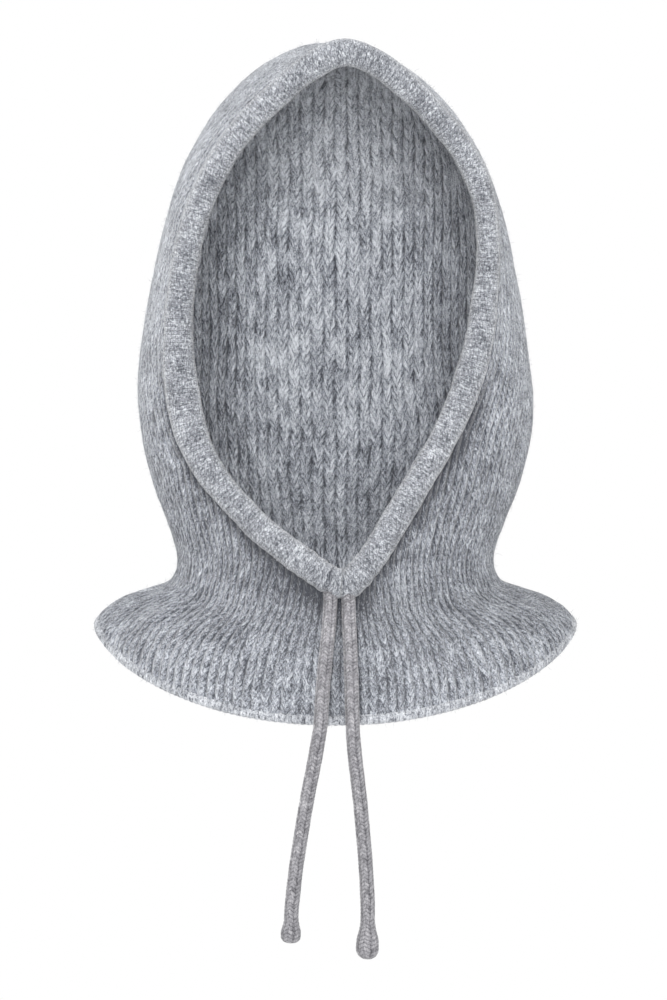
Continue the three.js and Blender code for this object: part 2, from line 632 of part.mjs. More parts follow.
// The stretch of the drawstring inside the tube: out of the slit on the left, round the face and back to it
function drawstringCore() {
  const exits = [LEFT_CORD_ROUTE, RIGHT_CORD_ROUTE].map(([start]) => new THREE.Vector3(...start));
  exits.forEach((exit) => exit.setZ(exit.z + GAP));
  const turns = exits.map((exit) => exit.clone().setZ(exit.z + CORE_TURN * CORD_DIAMETER));
  const turnTop = exits[0].z + 2 * CORE_TURN * CORD_DIAMETER;
  const inside = STATIONS.map((place) => rimFrame(place).centre).filter((centre) => centre.z > turnTop);
  const path = [exits[0], turns[0], ...inside, turns[1], exits[1]];
  const sections = path.map((centre, index) => {
    const isEnd = index === 0 || index === path.length - 1;
    const before = path[Math.max(index - 1, 0)];
    const after = path[Math.min(index + 1, path.length - 1)];
    const down = new THREE.Vector3(0, 0, index === 0 ? 1 : -1);
    const direction = isEnd ? down : new THREE.Vector3().subVectors(after, before).normalize();
    return cordSection(centre, direction, CORD_DIAMETER);
  });
  return sweepGeometry(sections, false);
}

// A free end of the drawstring: a plain round tube along its route
function freeCord(route) {
  const curve = new THREE.CatmullRomCurve3(route.map((point) => new THREE.Vector3(...point)));
  const section = new THREE.Shape();
  section.absarc(0, 0, CORD_DIAMETER / 2, 0, 2 * Math.PI);
  const steps = Math.round(curve.getLength() / CORD_STEP);
  return new THREE.ExtrudeGeometry(section, { steps, extrudePath: curve, curveSegments: CORD_SIDES / 2 });
}

// The closed, thicker end of a cord, as a solid of revolution that continues the cord's last stretch
function cordTip(tip, route) {
  const [before, end] = route.slice(-2).map((point) => new THREE.Vector3(...point));
  const direction = new THREE.Vector3().subVectors(end, before).normalize();
  const radiusAt = ({ swell, round }) => (mix(CORD_DIAMETER, tip.diameter, swell) / 2) * round;
  const side = TIP_PROFILE.map((row) => new THREE.Vector2(radiusAt(row), row.along * tip.length));
  const profile = [new THREE.Vector2(0, 0), ...side, new THREE.Vector2(0, tip.length)];
  const geometry = new THREE.LatheGeometry(profile, CORD_SIDES);
  geometry.applyQuaternion(new THREE.Quaternion().setFromUnitVectors(new THREE.Vector3(0, 1, 0), direction));
  const start = end.addScaledVector(direction, GAP);
  geometry.translate(start.x, start.y, start.z);
  return geometry;
}

const knit = new THREE.MeshStandardMaterial({ color: 0xa3a6ac, roughness: 0.95, metalness: 0 });
const jersey = new THREE.MeshStandardMaterial({ color: 0xa9acb2, roughness: 0.95, metalness: 0 });
const cordKnit = new THREE.MeshStandardMaterial({ color: 0xa09fa2, roughness: 0.9, metalness: 0 });

const snoodHood = new THREE.Group();

function addPiece(name, geometry, material) {
  const mesh = new THREE.Mesh(geometry, material);
  mesh.name = name;
  snoodHood.add(mesh);
}

addPiece('knit_body', knitBody(), knit);
addPiece('hem_edge', hemEdge(), knit);
addPiece('face_casing', faceCasing(), jersey);
addPiece('drawstring_core', drawstringCore(), cordKnit);
addPiece('cord_left', freeCord(LEFT_CORD_ROUTE), cordKnit);
addPiece('cord_right', freeCord(RIGHT_CORD_ROUTE), cordKnit);
addPiece('cord_tip_left', cordTip(LEFT_TIP, LEFT_CORD_ROUTE), cordKnit);
addPiece('cord_tip_right', cordTip(RIGHT_TIP, RIGHT_CORD_ROUTE), cordKnit);

export default snoodHood;
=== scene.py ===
"""Looks of a knitted snood hood: heather grey rib knit with a tubular jersey hem and a knitted drawstring.

Every length in this file is in millimetres unless its name or a comment says otherwise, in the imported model's
own frame: +Z up, +X to the right as seen from the front, and the face opening looks along -Y.
"""

import logging
import math
from dataclasses import dataclass, field
from enum import Enum
from typing import Any, Callable

import bpy
import numpy as np
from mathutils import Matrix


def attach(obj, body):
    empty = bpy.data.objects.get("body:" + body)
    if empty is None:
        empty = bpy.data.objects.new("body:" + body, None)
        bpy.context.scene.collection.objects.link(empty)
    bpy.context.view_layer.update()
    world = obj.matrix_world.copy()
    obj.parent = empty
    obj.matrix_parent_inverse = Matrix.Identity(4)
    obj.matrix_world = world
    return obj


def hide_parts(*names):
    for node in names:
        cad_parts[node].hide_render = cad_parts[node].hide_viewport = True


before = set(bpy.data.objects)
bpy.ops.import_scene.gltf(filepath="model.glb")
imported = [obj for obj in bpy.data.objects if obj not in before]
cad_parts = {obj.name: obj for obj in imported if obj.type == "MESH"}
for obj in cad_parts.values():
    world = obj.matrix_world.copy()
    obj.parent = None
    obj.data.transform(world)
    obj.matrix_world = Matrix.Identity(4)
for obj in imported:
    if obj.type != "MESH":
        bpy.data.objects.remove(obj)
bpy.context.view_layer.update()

LOG = logging.getLogger("snood_hood")
METRES = 0.001
STITCH_ATTRIBUTE = "stitch"
SHARP_ANGLE = math.radians(75)
MIDDLE_TOLERANCE = 0.01
WOOL_IOR = 1.54


class Side(Enum):
    """The wearer's side as seen from the front, with the sign that X has there."""

    LEFT = -1
    RIGHT = 1


class Face(Enum):
    """A face of the knit wall, with the sign of its offset from the middle of the wall."""

    OUTSIDE = 1
    INSIDE = -1


def linear_colour(code: str) -> tuple[float, float, float, float]:
    """Turns an sRGB hex colour into linear light.

    Args:
        code: The colour as "#rrggbb".

    Returns:
        Red, green, blue and an alpha of one.
    """
    shares = [int(code[start:start + 2], 16) / 255 for start in (1, 3, 5)]
    red, green, blue = (s / 12.92 if s <= 0.04045 else ((s + 0.055) / 1.055) ** 2.4 for s in shares)
    return red, green, blue, 1.0


def add_node(
    tree: bpy.types.NodeTree,
    kind: str,
    settings: dict[str, Any] | None = None,
    inputs: dict[int | str, Any] | None = None,
) -> bpy.types.Node:
    """Adds a shader node, sets it up and links what feeds it.

    Args:
        tree: The material's node tree.
        kind: The node's type, such as "ShaderNodeMath".
        settings: The node's own properties by name.
        inputs: Input sockets by name or number: a node, whose first output is linked, a socket, or a value.

    Returns:
        The new node.
    """
    node = tree.nodes.new(kind)
    for name, value in (settings or {}).items():
        setattr(node, name, value)
    for key, value in (inputs or {}).items():
        if isinstance(value, bpy.types.Node):
            tree.links.new(value.outputs[0], node.inputs[key])
        elif isinstance(value, bpy.types.NodeSocket):
            tree.links.new(value, node.inputs[key])
        else:
            node.inputs[key].default_value = value
    return node


def unit(vectors: np.ndarray) -> np.ndarray:
    """Scales the vectors on the last axis to length one."""
    return vectors / np.maximum(np.linalg.norm(vectors, axis=-1, keepdims=True), 1e-12)


def mix(start: Any, end: Any, share: Any) -> Any:
    """Goes a share of the way from start to end."""
    return start + (end - start) * share


def smooth_rows(rows: np.ndarray, position: np.ndarray, closed: bool = False) -> np.ndarray:
    """Samples a smooth curve through the rows of a table.

    Formula: the Catmull-Rom cubic through four neighbouring rows, for every column at once.

    Args:
        rows: One row for each knot.
        position: Places along the rows, 0 at the first one.
        closed: Whether the last row runs on into the first.

    Returns:
        The sampled rows, with the shape of position and one more axis.
    """
    count = len(rows)
    place = position if closed else np.clip(position, 0, count - 1)
    first = np.floor(place).astype(int)
    if not closed:
        first = np.minimum(first, count - 2)
    t = (place - first)[..., None]
    knots = [first + step for step in (-1, 0, 1, 2)]
    knots = [k % count if closed else np.clip(k, 0, count - 1) for k in knots]
    before, start, end, after = (rows[k] for k in knots)
    cubic = (3 * start - before - 3 * end + after) * t**3
    square = (2 * before - 5 * start + 4 * end - after) * t**2
    return 0.5 * (2 * start + (end - before) * t + square + cubic)


def soft_step(value: np.ndarray) -> np.ndarray:
    """Zero below zero, one above one and 3 t squared minus 2 t cubed between."""
    t = np.clip(value, 0, 1)
    return t * t * (3 - 2 * t)


def smooth_noise(x: np.ndarray, y: np.ndarray, seed: int) -> np.ndarray:
    """Seeded value noise from -1 to 1 that repeats every 128 cells.

    Formula: random values at whole x and y, blended between them by 3 t squared minus 2 t cubed.

    Args:
        x: First coordinate, one cell for each unit.
        y: Second coordinate.
        seed: Seed of the random values.

    Returns:
        One value for each point.
    """
    cells = 128
    lattice = np.random.default_rng(seed).uniform(-1, 1, (cells, cells))
    left, low = np.floor(x).astype(int), np.floor(y).astype(int)
    s, t = soft_step(x - left), soft_step(y - low)
    near, far = left % cells, (left + 1) % cells
    below, above = low % cells, (low + 1) % cells
    bottom = mix(lattice[near, below], lattice[far, below], s)
    top = mix(lattice[near, above], lattice[far, above], s)
    return mix(bottom, top, t)


@dataclass(frozen=True)
class Unevenness:
    """Slow seeded noise, such as the uneven hand of knitting and of felted wool.

    It has so many cells for each unit of its two coordinates, which are wale and course unless a comment says
    otherwise.
    """

    size: float
    cells: tuple[float, float]
    seed: int
    start: float = 0.0

    def at(self, first: np.ndarray, second: np.ndarray) -> np.ndarray:
        """Values from minus the size to the size."""
        across, along = self.cells
        return self.size * smooth_noise(first * across + self.start, second * along, self.seed)


@dataclass(frozen=True)
class Fade:
    """A soft step from zero at one place to one at another, which may lie on either side of it."""

    zero: float
    one: float

    def at(self, place: np.ndarray) -> np.ndarray:
        """The step's value at each place."""
        return soft_step((place - self.zero) / (self.one - self.zero))


def close_in(
    is_below: Callable[[np.ndarray], np.ndarray], low: np.ndarray, high: np.ndarray, halvings: int
) -> np.ndarray:
    """Finds where a test turns false, for every element at once, by halving the interval.

    Args:
        is_below: The test, which takes one value for each element.
        low: Values for which it is true.
        high: Values for which it is false.
        halvings: How often the interval is halved.

    Returns:
        The values at which it turns.
    """
    for _ in range(halvings):
        middle = (low + high) / 2
        below = is_below(middle)
        low, high = np.where(below, middle, low), np.where(below, high, middle)
    return high


def distance_along(lines: np.ndarray) -> np.ndarray:
    """Distance of each point of a polyline, or of several, from its first point."""
    steps = np.linalg.norm(np.diff(lines, axis=-2), axis=-1)
    return np.concatenate([np.zeros((*steps.shape[:-1], 1)), np.cumsum(steps, axis=-1)], axis=-1)


def even_rows(lines: np.ndarray, count: int) -> tuple[np.ndarray, np.ndarray]:
    """Spaces the points of each line evenly along it.

    Args:
        lines: Polylines as an array of line, point and coordinate.
        count: Points on each new line.

    Returns:
        The new lines in the same layout, and the length of each.
    """
    along = distance_along(lines)
    lengths = along[:, -1]
    spaced = [
        np.stack([np.interp(np.linspace(0, length, count), run, line[:, axis]) for axis in range(3)], axis=-1)
        for line, run, length in zip(lines, along, lengths)
    ]
    return np.stack(spaced), lengths


def grid_normals(points: np.ndarray) -> np.ndarray:
    """Unit normals of a grid of points: the cross product of its two central differences."""
    return unit(np.cross(np.gradient(points, axis=0), np.gradient(points, axis=1)))


def add_object(name: str, data: bpy.types.ID) -> bpy.types.Object:
    """Puts an object with the given mesh, light or camera into the scene.

    Args:
        name: The object's name.
        data: Its mesh, light or camera.

    Returns:
        The new object.
    """
    new = bpy.data.objects.new(name, data)
    bpy.context.scene.collection.objects.link(new)
    return new


def empty_material(name: str) -> bpy.types.Material:
    """Makes a material with an empty node tree.

    Args:
        name: The material's name.

    Returns:
        The new material.
    """
    material = bpy.data.materials.new(name)
    material.use_nodes = True
    material.node_tree.nodes.clear()
    return material


def spread_colours(ramp: bpy.types.Node, *codes: str) -> None:
    """Spreads two or three colours evenly over a colour ramp.

    Args:
        ramp: The ramp's node.
        codes: The colours in sRGB hex, from the ramp's start to its end.
    """
    stops = ramp.color_ramp.elements
    if len(codes) == 3:
        stops.new(0.5)
    for number, code in enumerate(codes):
        stops[number].position = number / (len(codes) - 1)
        stops[number].color = linear_colour(code)


def ring_normals(points: np.ndarray) -> np.ndarray:
    """Outward normals of rings of points: the directions away from each ring's own middle."""
    return unit(points - points.mean(axis=1, keepdims=True))


def make_piece(
    name: str, points: np.ndarray, faces: np.ndarray, stitches: np.ndarray, normals: np.ndarray | None = None
) -> bpy.types.Object:
    """Makes a smooth mesh object from arrays, with the place of each point in the knit as an attribute.

    Args:
        name: The piece's name.
        points: Corners in millimetres, as an array or a grid.
        faces: Quads or triangles, as rows of four or three corner numbers.
        stitches: Wale, course and shade for each corner; the shade is mostly painted shade and light.
        normals: Shading normals of the corners, where they run on across the edge of the piece.

    Returns:
        The new object, linked to the scene, with its place in its mesh.
    """
    mesh = bpy.data.meshes.new(name)
    mesh.vertices.add(points.size // 3)
    mesh.vertices.foreach_set("co", (points * METRES).astype(np.float32).ravel())
    mesh.loops.add(faces.size)
    mesh.loops.foreach_set("vertex_index", faces.astype(np.int32).ravel())
    mesh.polygons.add(len(faces))
    mesh.polygons.foreach_set("loop_start", np.arange(0, faces.size, faces.shape[1], dtype=np.int32))
    mesh.update(calc_edges=True)
    mesh.validate()
    mesh.shade_smooth()
    mesh.set_sharp_from_angle(angle=SHARP_ANGLE)
    if normals is not None:
        mesh.normals_split_custom_set_from_vertices(normals.astype(np.float32))
    attribute = mesh.attributes.new(STITCH_ATTRIBUTE, "FLOAT_VECTOR", "POINT")
    attribute.data.foreach_set("vector", stitches.astype(np.float32).ravel())
    return add_object(name, mesh)


def grid_faces(columns: int, rows: int, loop_columns: bool = False, loop_rows: bool = False) -> np.ndarray:
    """Quads of a grid whose points are numbered column by column.

    Args:
        columns: Columns of points.
        rows: Points in a column.
        loop_columns: Whether the last column joins the first.
        loop_rows: Whether the last point of a column joins its first.

    Returns:
        Rows of four point numbers.
    """
    last_column = columns if loop_columns else columns - 1
    last_row = rows if loop_rows else rows - 1
    column, row = np.meshgrid(np.arange(last_column), np.arange(last_row), indexing="ij")
    beside, above = (column + 1) % columns, (row + 1) % rows
    corners = [column * rows + row, beside * rows + row, beside * rows + above, column * rows + above]
    return np.stack(corners, axis=-1).reshape(-1, 4)


def wall_faces(columns: int, rows: int) -> np.ndarray:
    """Quads of a closed wall: an outer grid, an inner grid with as many points, and the rim between them.

    Args:
        columns: Columns of points in each grid.
        rows: Points in a column.

    Returns:
        Rows of four point numbers, the outer grid's points first.
    """
    inner = columns * rows
    outside = grid_faces(columns, rows)
    column, row = np.arange(columns), np.arange(rows)
    edge = np.concatenate([
        column * rows,
        (columns - 1) * rows + row[1:],
        column[-2::-1] * rows + rows - 1,
        row[-2:0:-1],
    ])
    after = np.roll(edge, -1)
    rim = np.stack([after, edge, edge + inner, after + inner], axis=-1)
    return np.concatenate([outside, outside[:, ::-1] + inner, rim])


@dataclass(frozen=True)
class HoodForm:
    """The smooth form of the worn hood: the surface of the knit body and the line of its tubular hem.

    The cape, throat and crown rows run from the hem up to the crown seam, and the rim rows from the lowest
    point of the face opening up to its highest. They hold shares of the named sizes.
    """

    hood_height: float = 308.0
    hood_width: float = 238.0
    hood_front: float = 106.0
    hood_back: float = 129.0
    neck_width: float = 191.0
    neck_front: float = 82.0
    neck_back: float = 84.0
    cape_width: float = 288.0
    cape_front: float = 116.0
    cape_back: float = 112.0
    side_drop: float = 38.0
    front_drop: float = 90.0
    back_drop: float = 80.0
    cape_bend: float = 1.38
    hood_bend: float = 1.7
    side_reach: float = 0.06
    wall: float = 3.2

    opening_width: float = 178.0
    opening_height: float = 301.6
    opening_reach: float = 100.0
    opening_top_drop: float = 17.2
    opening_shift: float = 3.0
    casing_width: float = 16.0
    casing_depth: float = 14.0
    rim_turn: float = 0.3
    outer_angle: float = 38.0
    tuck: float = -0.9

    # Side, front and back share of the way from neck to cape, side, front and back drop, plan exponent
    cape_rows: tuple[tuple[float, ...], ...] = (
        (1.0, 1.0, 1.0, 1.0, 1.0, 1.0, 2.05),
        (0.93, 0.76, 0.75, 0.78, 0.77, 0.76, 2.05),
        (0.65, 0.5, 0.46, 0.54, 0.54, 0.52, 2.1),
        (0.16, 0.24, 0.18, 0.33, 0.33, 0.3, 2.15),
        (0.04, 0.08, 0.05, 0.19, 0.19, 0.16, 2.2),
        (0.0, 0.0, 0.0, 0.0, 0.05, 0.04, 2.2),
    )
    # Rise, side, front and back share of the way from neck to hood, plan exponent
    throat_rows: tuple[tuple[float, ...], ...] = (
        (0.032, 0.06, 0.08, 0.07, 2.2),
        (0.081, 0.28, 0.25, 0.31, 2.25),
        (0.155, 0.62, 0.5, 0.62, 2.3),
        (0.249, 0.9, 0.73, 0.84, 2.35),
        (0.34, 0.99, 0.88, 0.955, 2.45),
    )
    # Rise, side, front and back shares of the hood's sizes, front and back fall, plan exponent
    crown_rows: tuple[tuple[float, ...], ...] = (
        (0.454, 0.968, 0.99, 1.0, 0.0, 0.0, 2.7),
        (0.5675, 0.912, 1.0, 0.992, 0.0, 0.006, 3.0),
        (0.665, 0.853, 1.0, 0.961, 0.0, 0.012, 3.0),
        (0.746, 0.786, 1.0, 0.9, -0.01, 0.02, 2.9),
        (0.811, 0.706, 0.99, 0.812, -0.012, 0.032, 2.7),
        (0.876, 0.597, 0.98, 0.7, 0.0, 0.04, 2.5),
        (0.934, 0.452, 0.96, 0.575, 0.015, 0.043, 2.35),
        (0.973, 0.3, 0.935, 0.465, 0.025, 0.042, 2.2),
        (0.995, 0.15, 0.91, 0.38, 0.031, 0.038, 2.1),
        (1.0, 0.0, 0.897, 0.335, 0.033, 0.034, 2.0),
    )
    # Left out and up, right out and up, forward reach, left and right width of the tube
    rim_rows: tuple[tuple[float, ...], ...] = (
        (0.0, 0.0, 0.0, 0.0, 0.93, 1.06, 1.06),
        (0.258, 0.044, 0.157, 0.032, 0.92, 1.03, 1.03),
        (0.506, 0.101, 0.348, 0.118, 0.9, 1.0, 1.0),
        (0.697, 0.158, 0.517, 0.203, 0.87, 1.0, 1.0),
        (0.854, 0.216, 0.674, 0.281, 0.84, 1.06, 1.0),
        (0.966, 0.284, 0.792, 0.363, 0.81, 1.19, 1.04),
        (1.022, 0.357, 0.882, 0.446, 0.79, 1.25, 1.05),
        (1.05, 0.45, 0.929, 0.539, 0.78, 1.1, 0.97),
        (1.034, 0.549, 0.952, 0.632, 0.79, 1.0, 0.86),
        (0.972, 0.657, 0.916, 0.735, 0.82, 0.95, 0.86),
        (0.854, 0.755, 0.798, 0.814, 0.86, 0.93, 0.9),
        (0.674, 0.844, 0.607, 0.886, 0.91, 0.93, 0.9),
        (0.427, 0.919, 0.36, 0.955, 0.955, 0.95, 0.93),
        (0.18, 0.977, 0.152, 0.993, 0.99, 0.98, 0.97),
        (0.0, 1.0, 0.0, 1.0, 1.0, 1.0, 1.0),
    )

    @property
    def neck_z(self) -> float:
        """Height of the neck, below the outside of the crown."""
        return self.wall - self.hood_height

    @property
    def top_level(self) -> int:
        """The level of the crown seam."""
        return len(self.cape_rows) + len(self.throat_rows) + len(self.crown_rows) - 1

    @property
    def half_loop(self) -> int:
        """Places on the tube's line from its lowest point to its highest."""
        return len(self.rim_rows) - 1

    def levels(self) -> np.ndarray:
        """Every row of the body, hem first.

        Returns:
            A row for each level: half width, y and z of the side, the front and the back, plan exponent and
            bend.
        """
        side_y = -self.hood_front * self.side_reach
        neck_front, neck_back = self.cape_rows[-1][4:6]
        rows = []
        for side, front, back, side_drop, front_drop, back_drop, square in self.cape_rows:
            rows.append((
                mix(self.neck_width, self.cape_width, side) / 2,
                0.0,
                self.neck_z - self.side_drop * side_drop,
                -mix(self.neck_front, self.cape_front, front),
                self.neck_z - self.front_drop * front_drop,
                mix(self.neck_back, self.cape_back, back),
                self.neck_z - self.back_drop * back_drop,
                square,
                self.cape_bend,
            ))
        for number, (rise, side, front, back, square) in enumerate(self.throat_rows, start=1):
            height = self.neck_z + self.hood_height * rise
            share = number / len(self.throat_rows)
            rows.append((
                mix(self.neck_width, self.hood_width, side) / 2,
                side_y * share,
                height,
                -mix(self.neck_front, self.hood_front, front),
                height - self.front_drop * neck_front * (1 - share),
                mix(self.neck_back, self.hood_back, back),
                height - self.back_drop * neck_back * (1 - share),
                square,
                mix(self.cape_bend, self.hood_bend, share),
            ))
        for rise, side, front, back, front_fall, back_fall, square in self.crown_rows:
            rows.append((
                self.hood_width / 2 * side,
                side_y,
                self.neck_z + self.hood_height * rise,
                -self.hood_front * front,
                self.neck_z + self.hood_height * (rise - front_fall),
                self.hood_back * back,
                self.neck_z + self.hood_height * (rise - back_fall),
                square,
                self.hood_bend,
            ))
        return np.array(rows)

    def closed_surface(self, angle: np.ndarray, level: np.ndarray) -> np.ndarray:
        """The body's outer face as if it had no face opening, on the +X side.

        Formula: each level is a rounded outline, a superellipse whose radius at an angle is the sum of the
        powers of its sine and cosine, to minus one over the exponent. Its ends hang below its sides by the
        bend power of the way out to them.

        Args:
            angle: 0 at the centre back, half a turn at the centre front.
            level: 0 at the hem, top_level at the crown seam.

        Returns:
            Points in millimetres.
        """
        angle, level = np.broadcast_arrays(angle, level)
        row = np.moveaxis(smooth_rows(self.levels(), level), -1, 0)
        half_width, side_y, side_z, front_y, front_z, back_y, back_z, square, bend = row
        across, along = np.sin(angle), np.abs(np.cos(angle))
        radius = (np.abs(across) ** square + along**square) ** (-1 / square)
        is_back = angle < math.pi / 2
        end_y, end_z = np.where(is_back, back_y, front_y), np.where(is_back, back_z, front_z)
        out = radius * along
        x = np.maximum(half_width, 0) * radius * across
        return np.stack([x, mix(side_y, end_y, out), mix(side_z, end_z, out**bend)], axis=-1)

    def level_above_hem(self, angle: np.ndarray, distance: float) -> np.ndarray:
        """Finds the level that lies a distance up from the hem.

        Args:
            angle: Angles round the body.
            distance: Straight distance from the hem's point at the same angle.

        Returns:
            A level for each angle.
        """
        hem = self.closed_surface(angle, np.zeros_like(angle))

        def is_near(level: np.ndarray) -> np.ndarray:
            """Whether a level is less than the distance from the hem."""
            return np.linalg.norm(self.closed_surface(angle, level) - hem, axis=-1) < distance

        return close_in(is_near, np.zeros_like(angle), np.full_like(angle, 2.0), halvings=30)

    def rim_loop(self) -> np.ndarray:
        """The tube's centre line, from its lowest point up the left side and down the right one.

        Formula: a rim row holds a point's shares of half the opening's width, of its height and of its
        forward reach, and the share of its usual width that the tube has there.

        Returns:
            A row of x, y, z and the tube's width for each point.
        """
        rows = np.array(self.rim_rows)
        top = self.wall - self.opening_top_drop
        bottom = top - self.opening_height
        sides = []
        for side, out, up, wide in ((-1, 0, 1, 5), (1, 2, 3, 6)):
            sides.append(np.stack([
                self.opening_shift + side * rows[:, out] * self.opening_width / 2,
                -self.opening_reach * rows[:, 4],
                bottom + self.opening_height * rows[:, up],
                self.casing_width * rows[:, wide],
            ], axis=-1))
        return np.concatenate([sides[0], sides[1][-2:0:-1]])

    def rim_frame(self, place: np.ndarray) -> tuple[np.ndarray, np.ndarray, np.ndarray, np.ndarray]:
        """The tube's centre line, its directions and its width at places on the loop.

        Formula: the tangent is a central difference along the loop. The outward direction is the cross
        product of -Y and the tangent, and the forward one that of the tangent and the outward direction.

        Args:
            place: Places on the loop, whole at its points.

        Returns:
            Centres, outward directions, forward directions and widths.
        """
        step, loop = 0.02, self.rim_loop()
        here = smooth_rows(loop, place, closed=True)
        ahead = smooth_rows(loop, place + step, closed=True)
        behind = smooth_rows(loop, place - step, closed=True)
        tangent = unit((ahead - behind)[..., :3])
        outward = unit(np.cross(np.array([0.0, -1.0, 0.0]), tangent))
        return here[..., :3], outward, unit(np.cross(tangent, outward)), here[..., 3]

    def rim_point(self, place: np.ndarray, angle: np.ndarray, offset: np.ndarray) -> np.ndarray:
        """A point of the tube's face: on an ellipse round its centre line, grown by an offset.

        Args:
            place: Places on the tube's loop.
            angle: Angles round the tube, 0 outwards and a quarter of a turn forwards.
            offset: How far the ellipse is grown at each point.

        Returns:
            Points in millimetres.
        """
        centre, outward, forward, wide = self.rim_frame(place)
        across = (wide / 2 + offset) * np.cos(angle)
        ahead = (self.casing_depth / 2 + offset) * np.sin(angle)
        return centre + outward * across[..., None] + forward * ahead[..., None]

    def rim_edge(self, side: Side, share: np.ndarray, degrees: float) -> np.ndarray:
        """Where the body's wall meets the back of the tube, at shares of the way up one side.

        Args:
            side: The side of the opening.
            share: 0 at the lowest point of the opening, 1 at its highest.
            degrees: Angle round the tube from its outermost line backwards.

        Returns:
            Points in millimetres.
        """
        place = share * self.half_loop if side is Side.LEFT else (2 - share) * self.half_loop
        angle = np.full_like(place, -math.radians(degrees))
        return self.rim_point(place, angle, np.full_like(place, self.tuck))


@dataclass(frozen=True)
class RimTrace:
    """Where the closed surface passes the rim of one side, from the lowest point of the opening upwards."""

    share: np.ndarray
    level: np.ndarray
    angle: np.ndarray
    # Number of the rim point from which ribs rise past the opening
    turn: int

    @classmethod
    def follow(cls, form: HoodForm, side: Side, samples: int = 240) -> "RimTrace":
        """Finds the level and the angle of each rim point.

        Args:
            form: The hood's form.
            side: The side of the opening.
            samples: Intervals along the rim.

        Returns:
            The trace.
        """
        share = np.linspace(0, 1, samples + 1)
        edge = form.rim_edge(side, share, form.outer_angle)
        out = np.maximum(side.value * (edge[:, 0] - form.opening_shift), 0)
        table = form.levels()

        def angle_at(level: np.ndarray) -> np.ndarray:
            """The angle at which a level is as far out as the rim.

            Formula: the share of the half width is one coordinate on the superellipse. The other one follows
            from it, and the arc tangent of both gives the angle.

            Args:
                level: A level for each rim point.

            Returns:
                An angle for each rim point.
            """
            row = smooth_rows(table, level)
            across = np.clip(out / np.maximum(row[:, 0], 1e-6), 0, 1)
            along = (1 - across ** row[:, 7]) ** (1 / row[:, 7])
            return math.pi - np.arctan2(across, along)

        def is_below(level: np.ndarray) -> np.ndarray:
            """Whether the surface at a level is below the rim."""
            return form.closed_surface(angle_at(level), level)[:, 2] < edge[:, 2]

        high = close_in(is_below, np.zeros_like(share), np.full_like(share, form.top_level), halvings=40)
        angle = angle_at(high)
        angle[[0, -1]] = math.pi
        high[-1] = form.top_level
        return cls(share, high, angle, round(form.rim_turn * samples))


@dataclass
class BodySide:
    """One side of the knit body as lines that follow the ribs, from the cape's edge upwards."""

    form: HoodForm
    side: Side
    start_up: float = 3.2
    lower_samples: int = 120
    upper_samples: int = 180
    trace: RimTrace = field(init=False)

    def __post_init__(self) -> None:
        """Traces the rim of this side."""
        self.trace = RimTrace.follow(self.form, self.side)

    @property
    def turning_angle(self) -> float:
        """The angle of the last rib that rises past the face opening."""
        return float(self.trace.angle[self.trace.turn])

    def place(self, angle: np.ndarray, level: np.ndarray) -> np.ndarray:
        """A point of the closed surface on this side."""
        return self.form.closed_surface(angle, level) * np.array([self.side.value, 1, 1])

    def shift(self, share: np.ndarray, angle: np.ndarray, level: np.ndarray) -> np.ndarray:
        """How far the rim lies from the closed surface."""
        return self.form.rim_edge(self.side, share, self.form.outer_angle) - self.place(angle, level)

    def head_lines(self, share: np.ndarray) -> np.ndarray:
        """Rib lines that rise from the hem to the crown seam.

        Formula: below the turning level a line keeps its angle, and above it has its share of the rim's
        angle. The rim's own shift fades with the fourth power of the share, and below with the cube of the
        height too.

        Args:
            share: 0 for the centre back, 1 for the line along the rim.

        Returns:
            Points as an array of line, point and coordinate.
        """
        form, trace, turn = self.form, self.trace, self.trace.turn
        angle = share * trace.angle[turn]
        low = form.level_above_hem(angle, self.start_up)
        up = np.linspace(0, 1, self.lower_samples)
        level = mix(low[:, None], trace.level[turn], up)
        turning = self.shift(*(values[turn:turn + 1] for values in (trace.share, trace.angle, trace.level)))
        fade = up**3 * share[:, None] ** 4
        lower = self.place(angle[:, None], level) + turning * fade[..., None]
        level = mix(trace.level[turn], form.top_level, np.linspace(0, 1, self.upper_samples)[1:])
        rim_share = np.interp(level, trace.level[turn:], trace.share[turn:])
        rim_angle = np.interp(level, trace.level[turn:], trace.angle[turn:])
        shift = self.shift(rim_share, rim_angle, level)
        upper = self.place(share[:, None] * rim_angle, level) + shift * share[:, None, None] ** 4
        return np.concatenate([lower, upper], axis=1)

    def front_lines(self, share: np.ndarray) -> np.ndarray:
        """Rib lines under the face opening, from the hem up to the opening's lower edge.

        Args:
            share: 0 for the line below the turning point, 1 for the centre front.

        Returns:
            Points as an array of line, point and coordinate.
        """
        trace, turn = self.trace, self.trace.turn
        angle = mix(trace.angle[turn], math.pi, share)
        falling = trace.angle[turn::-1]
        end_share = np.interp(angle, falling, trace.share[turn::-1])
        end_level = np.interp(angle, falling, trace.level[turn::-1])
        low = self.form.level_above_hem(angle, self.start_up)
        up = np.linspace(0, 1, self.lower_samples)
        level = mix(low[:, None], end_level[:, None], up)
        shift = self.shift(end_share, angle, end_level)
        return self.place(angle[:, None], level) + shift[:, None] * (up**3)[:, None]


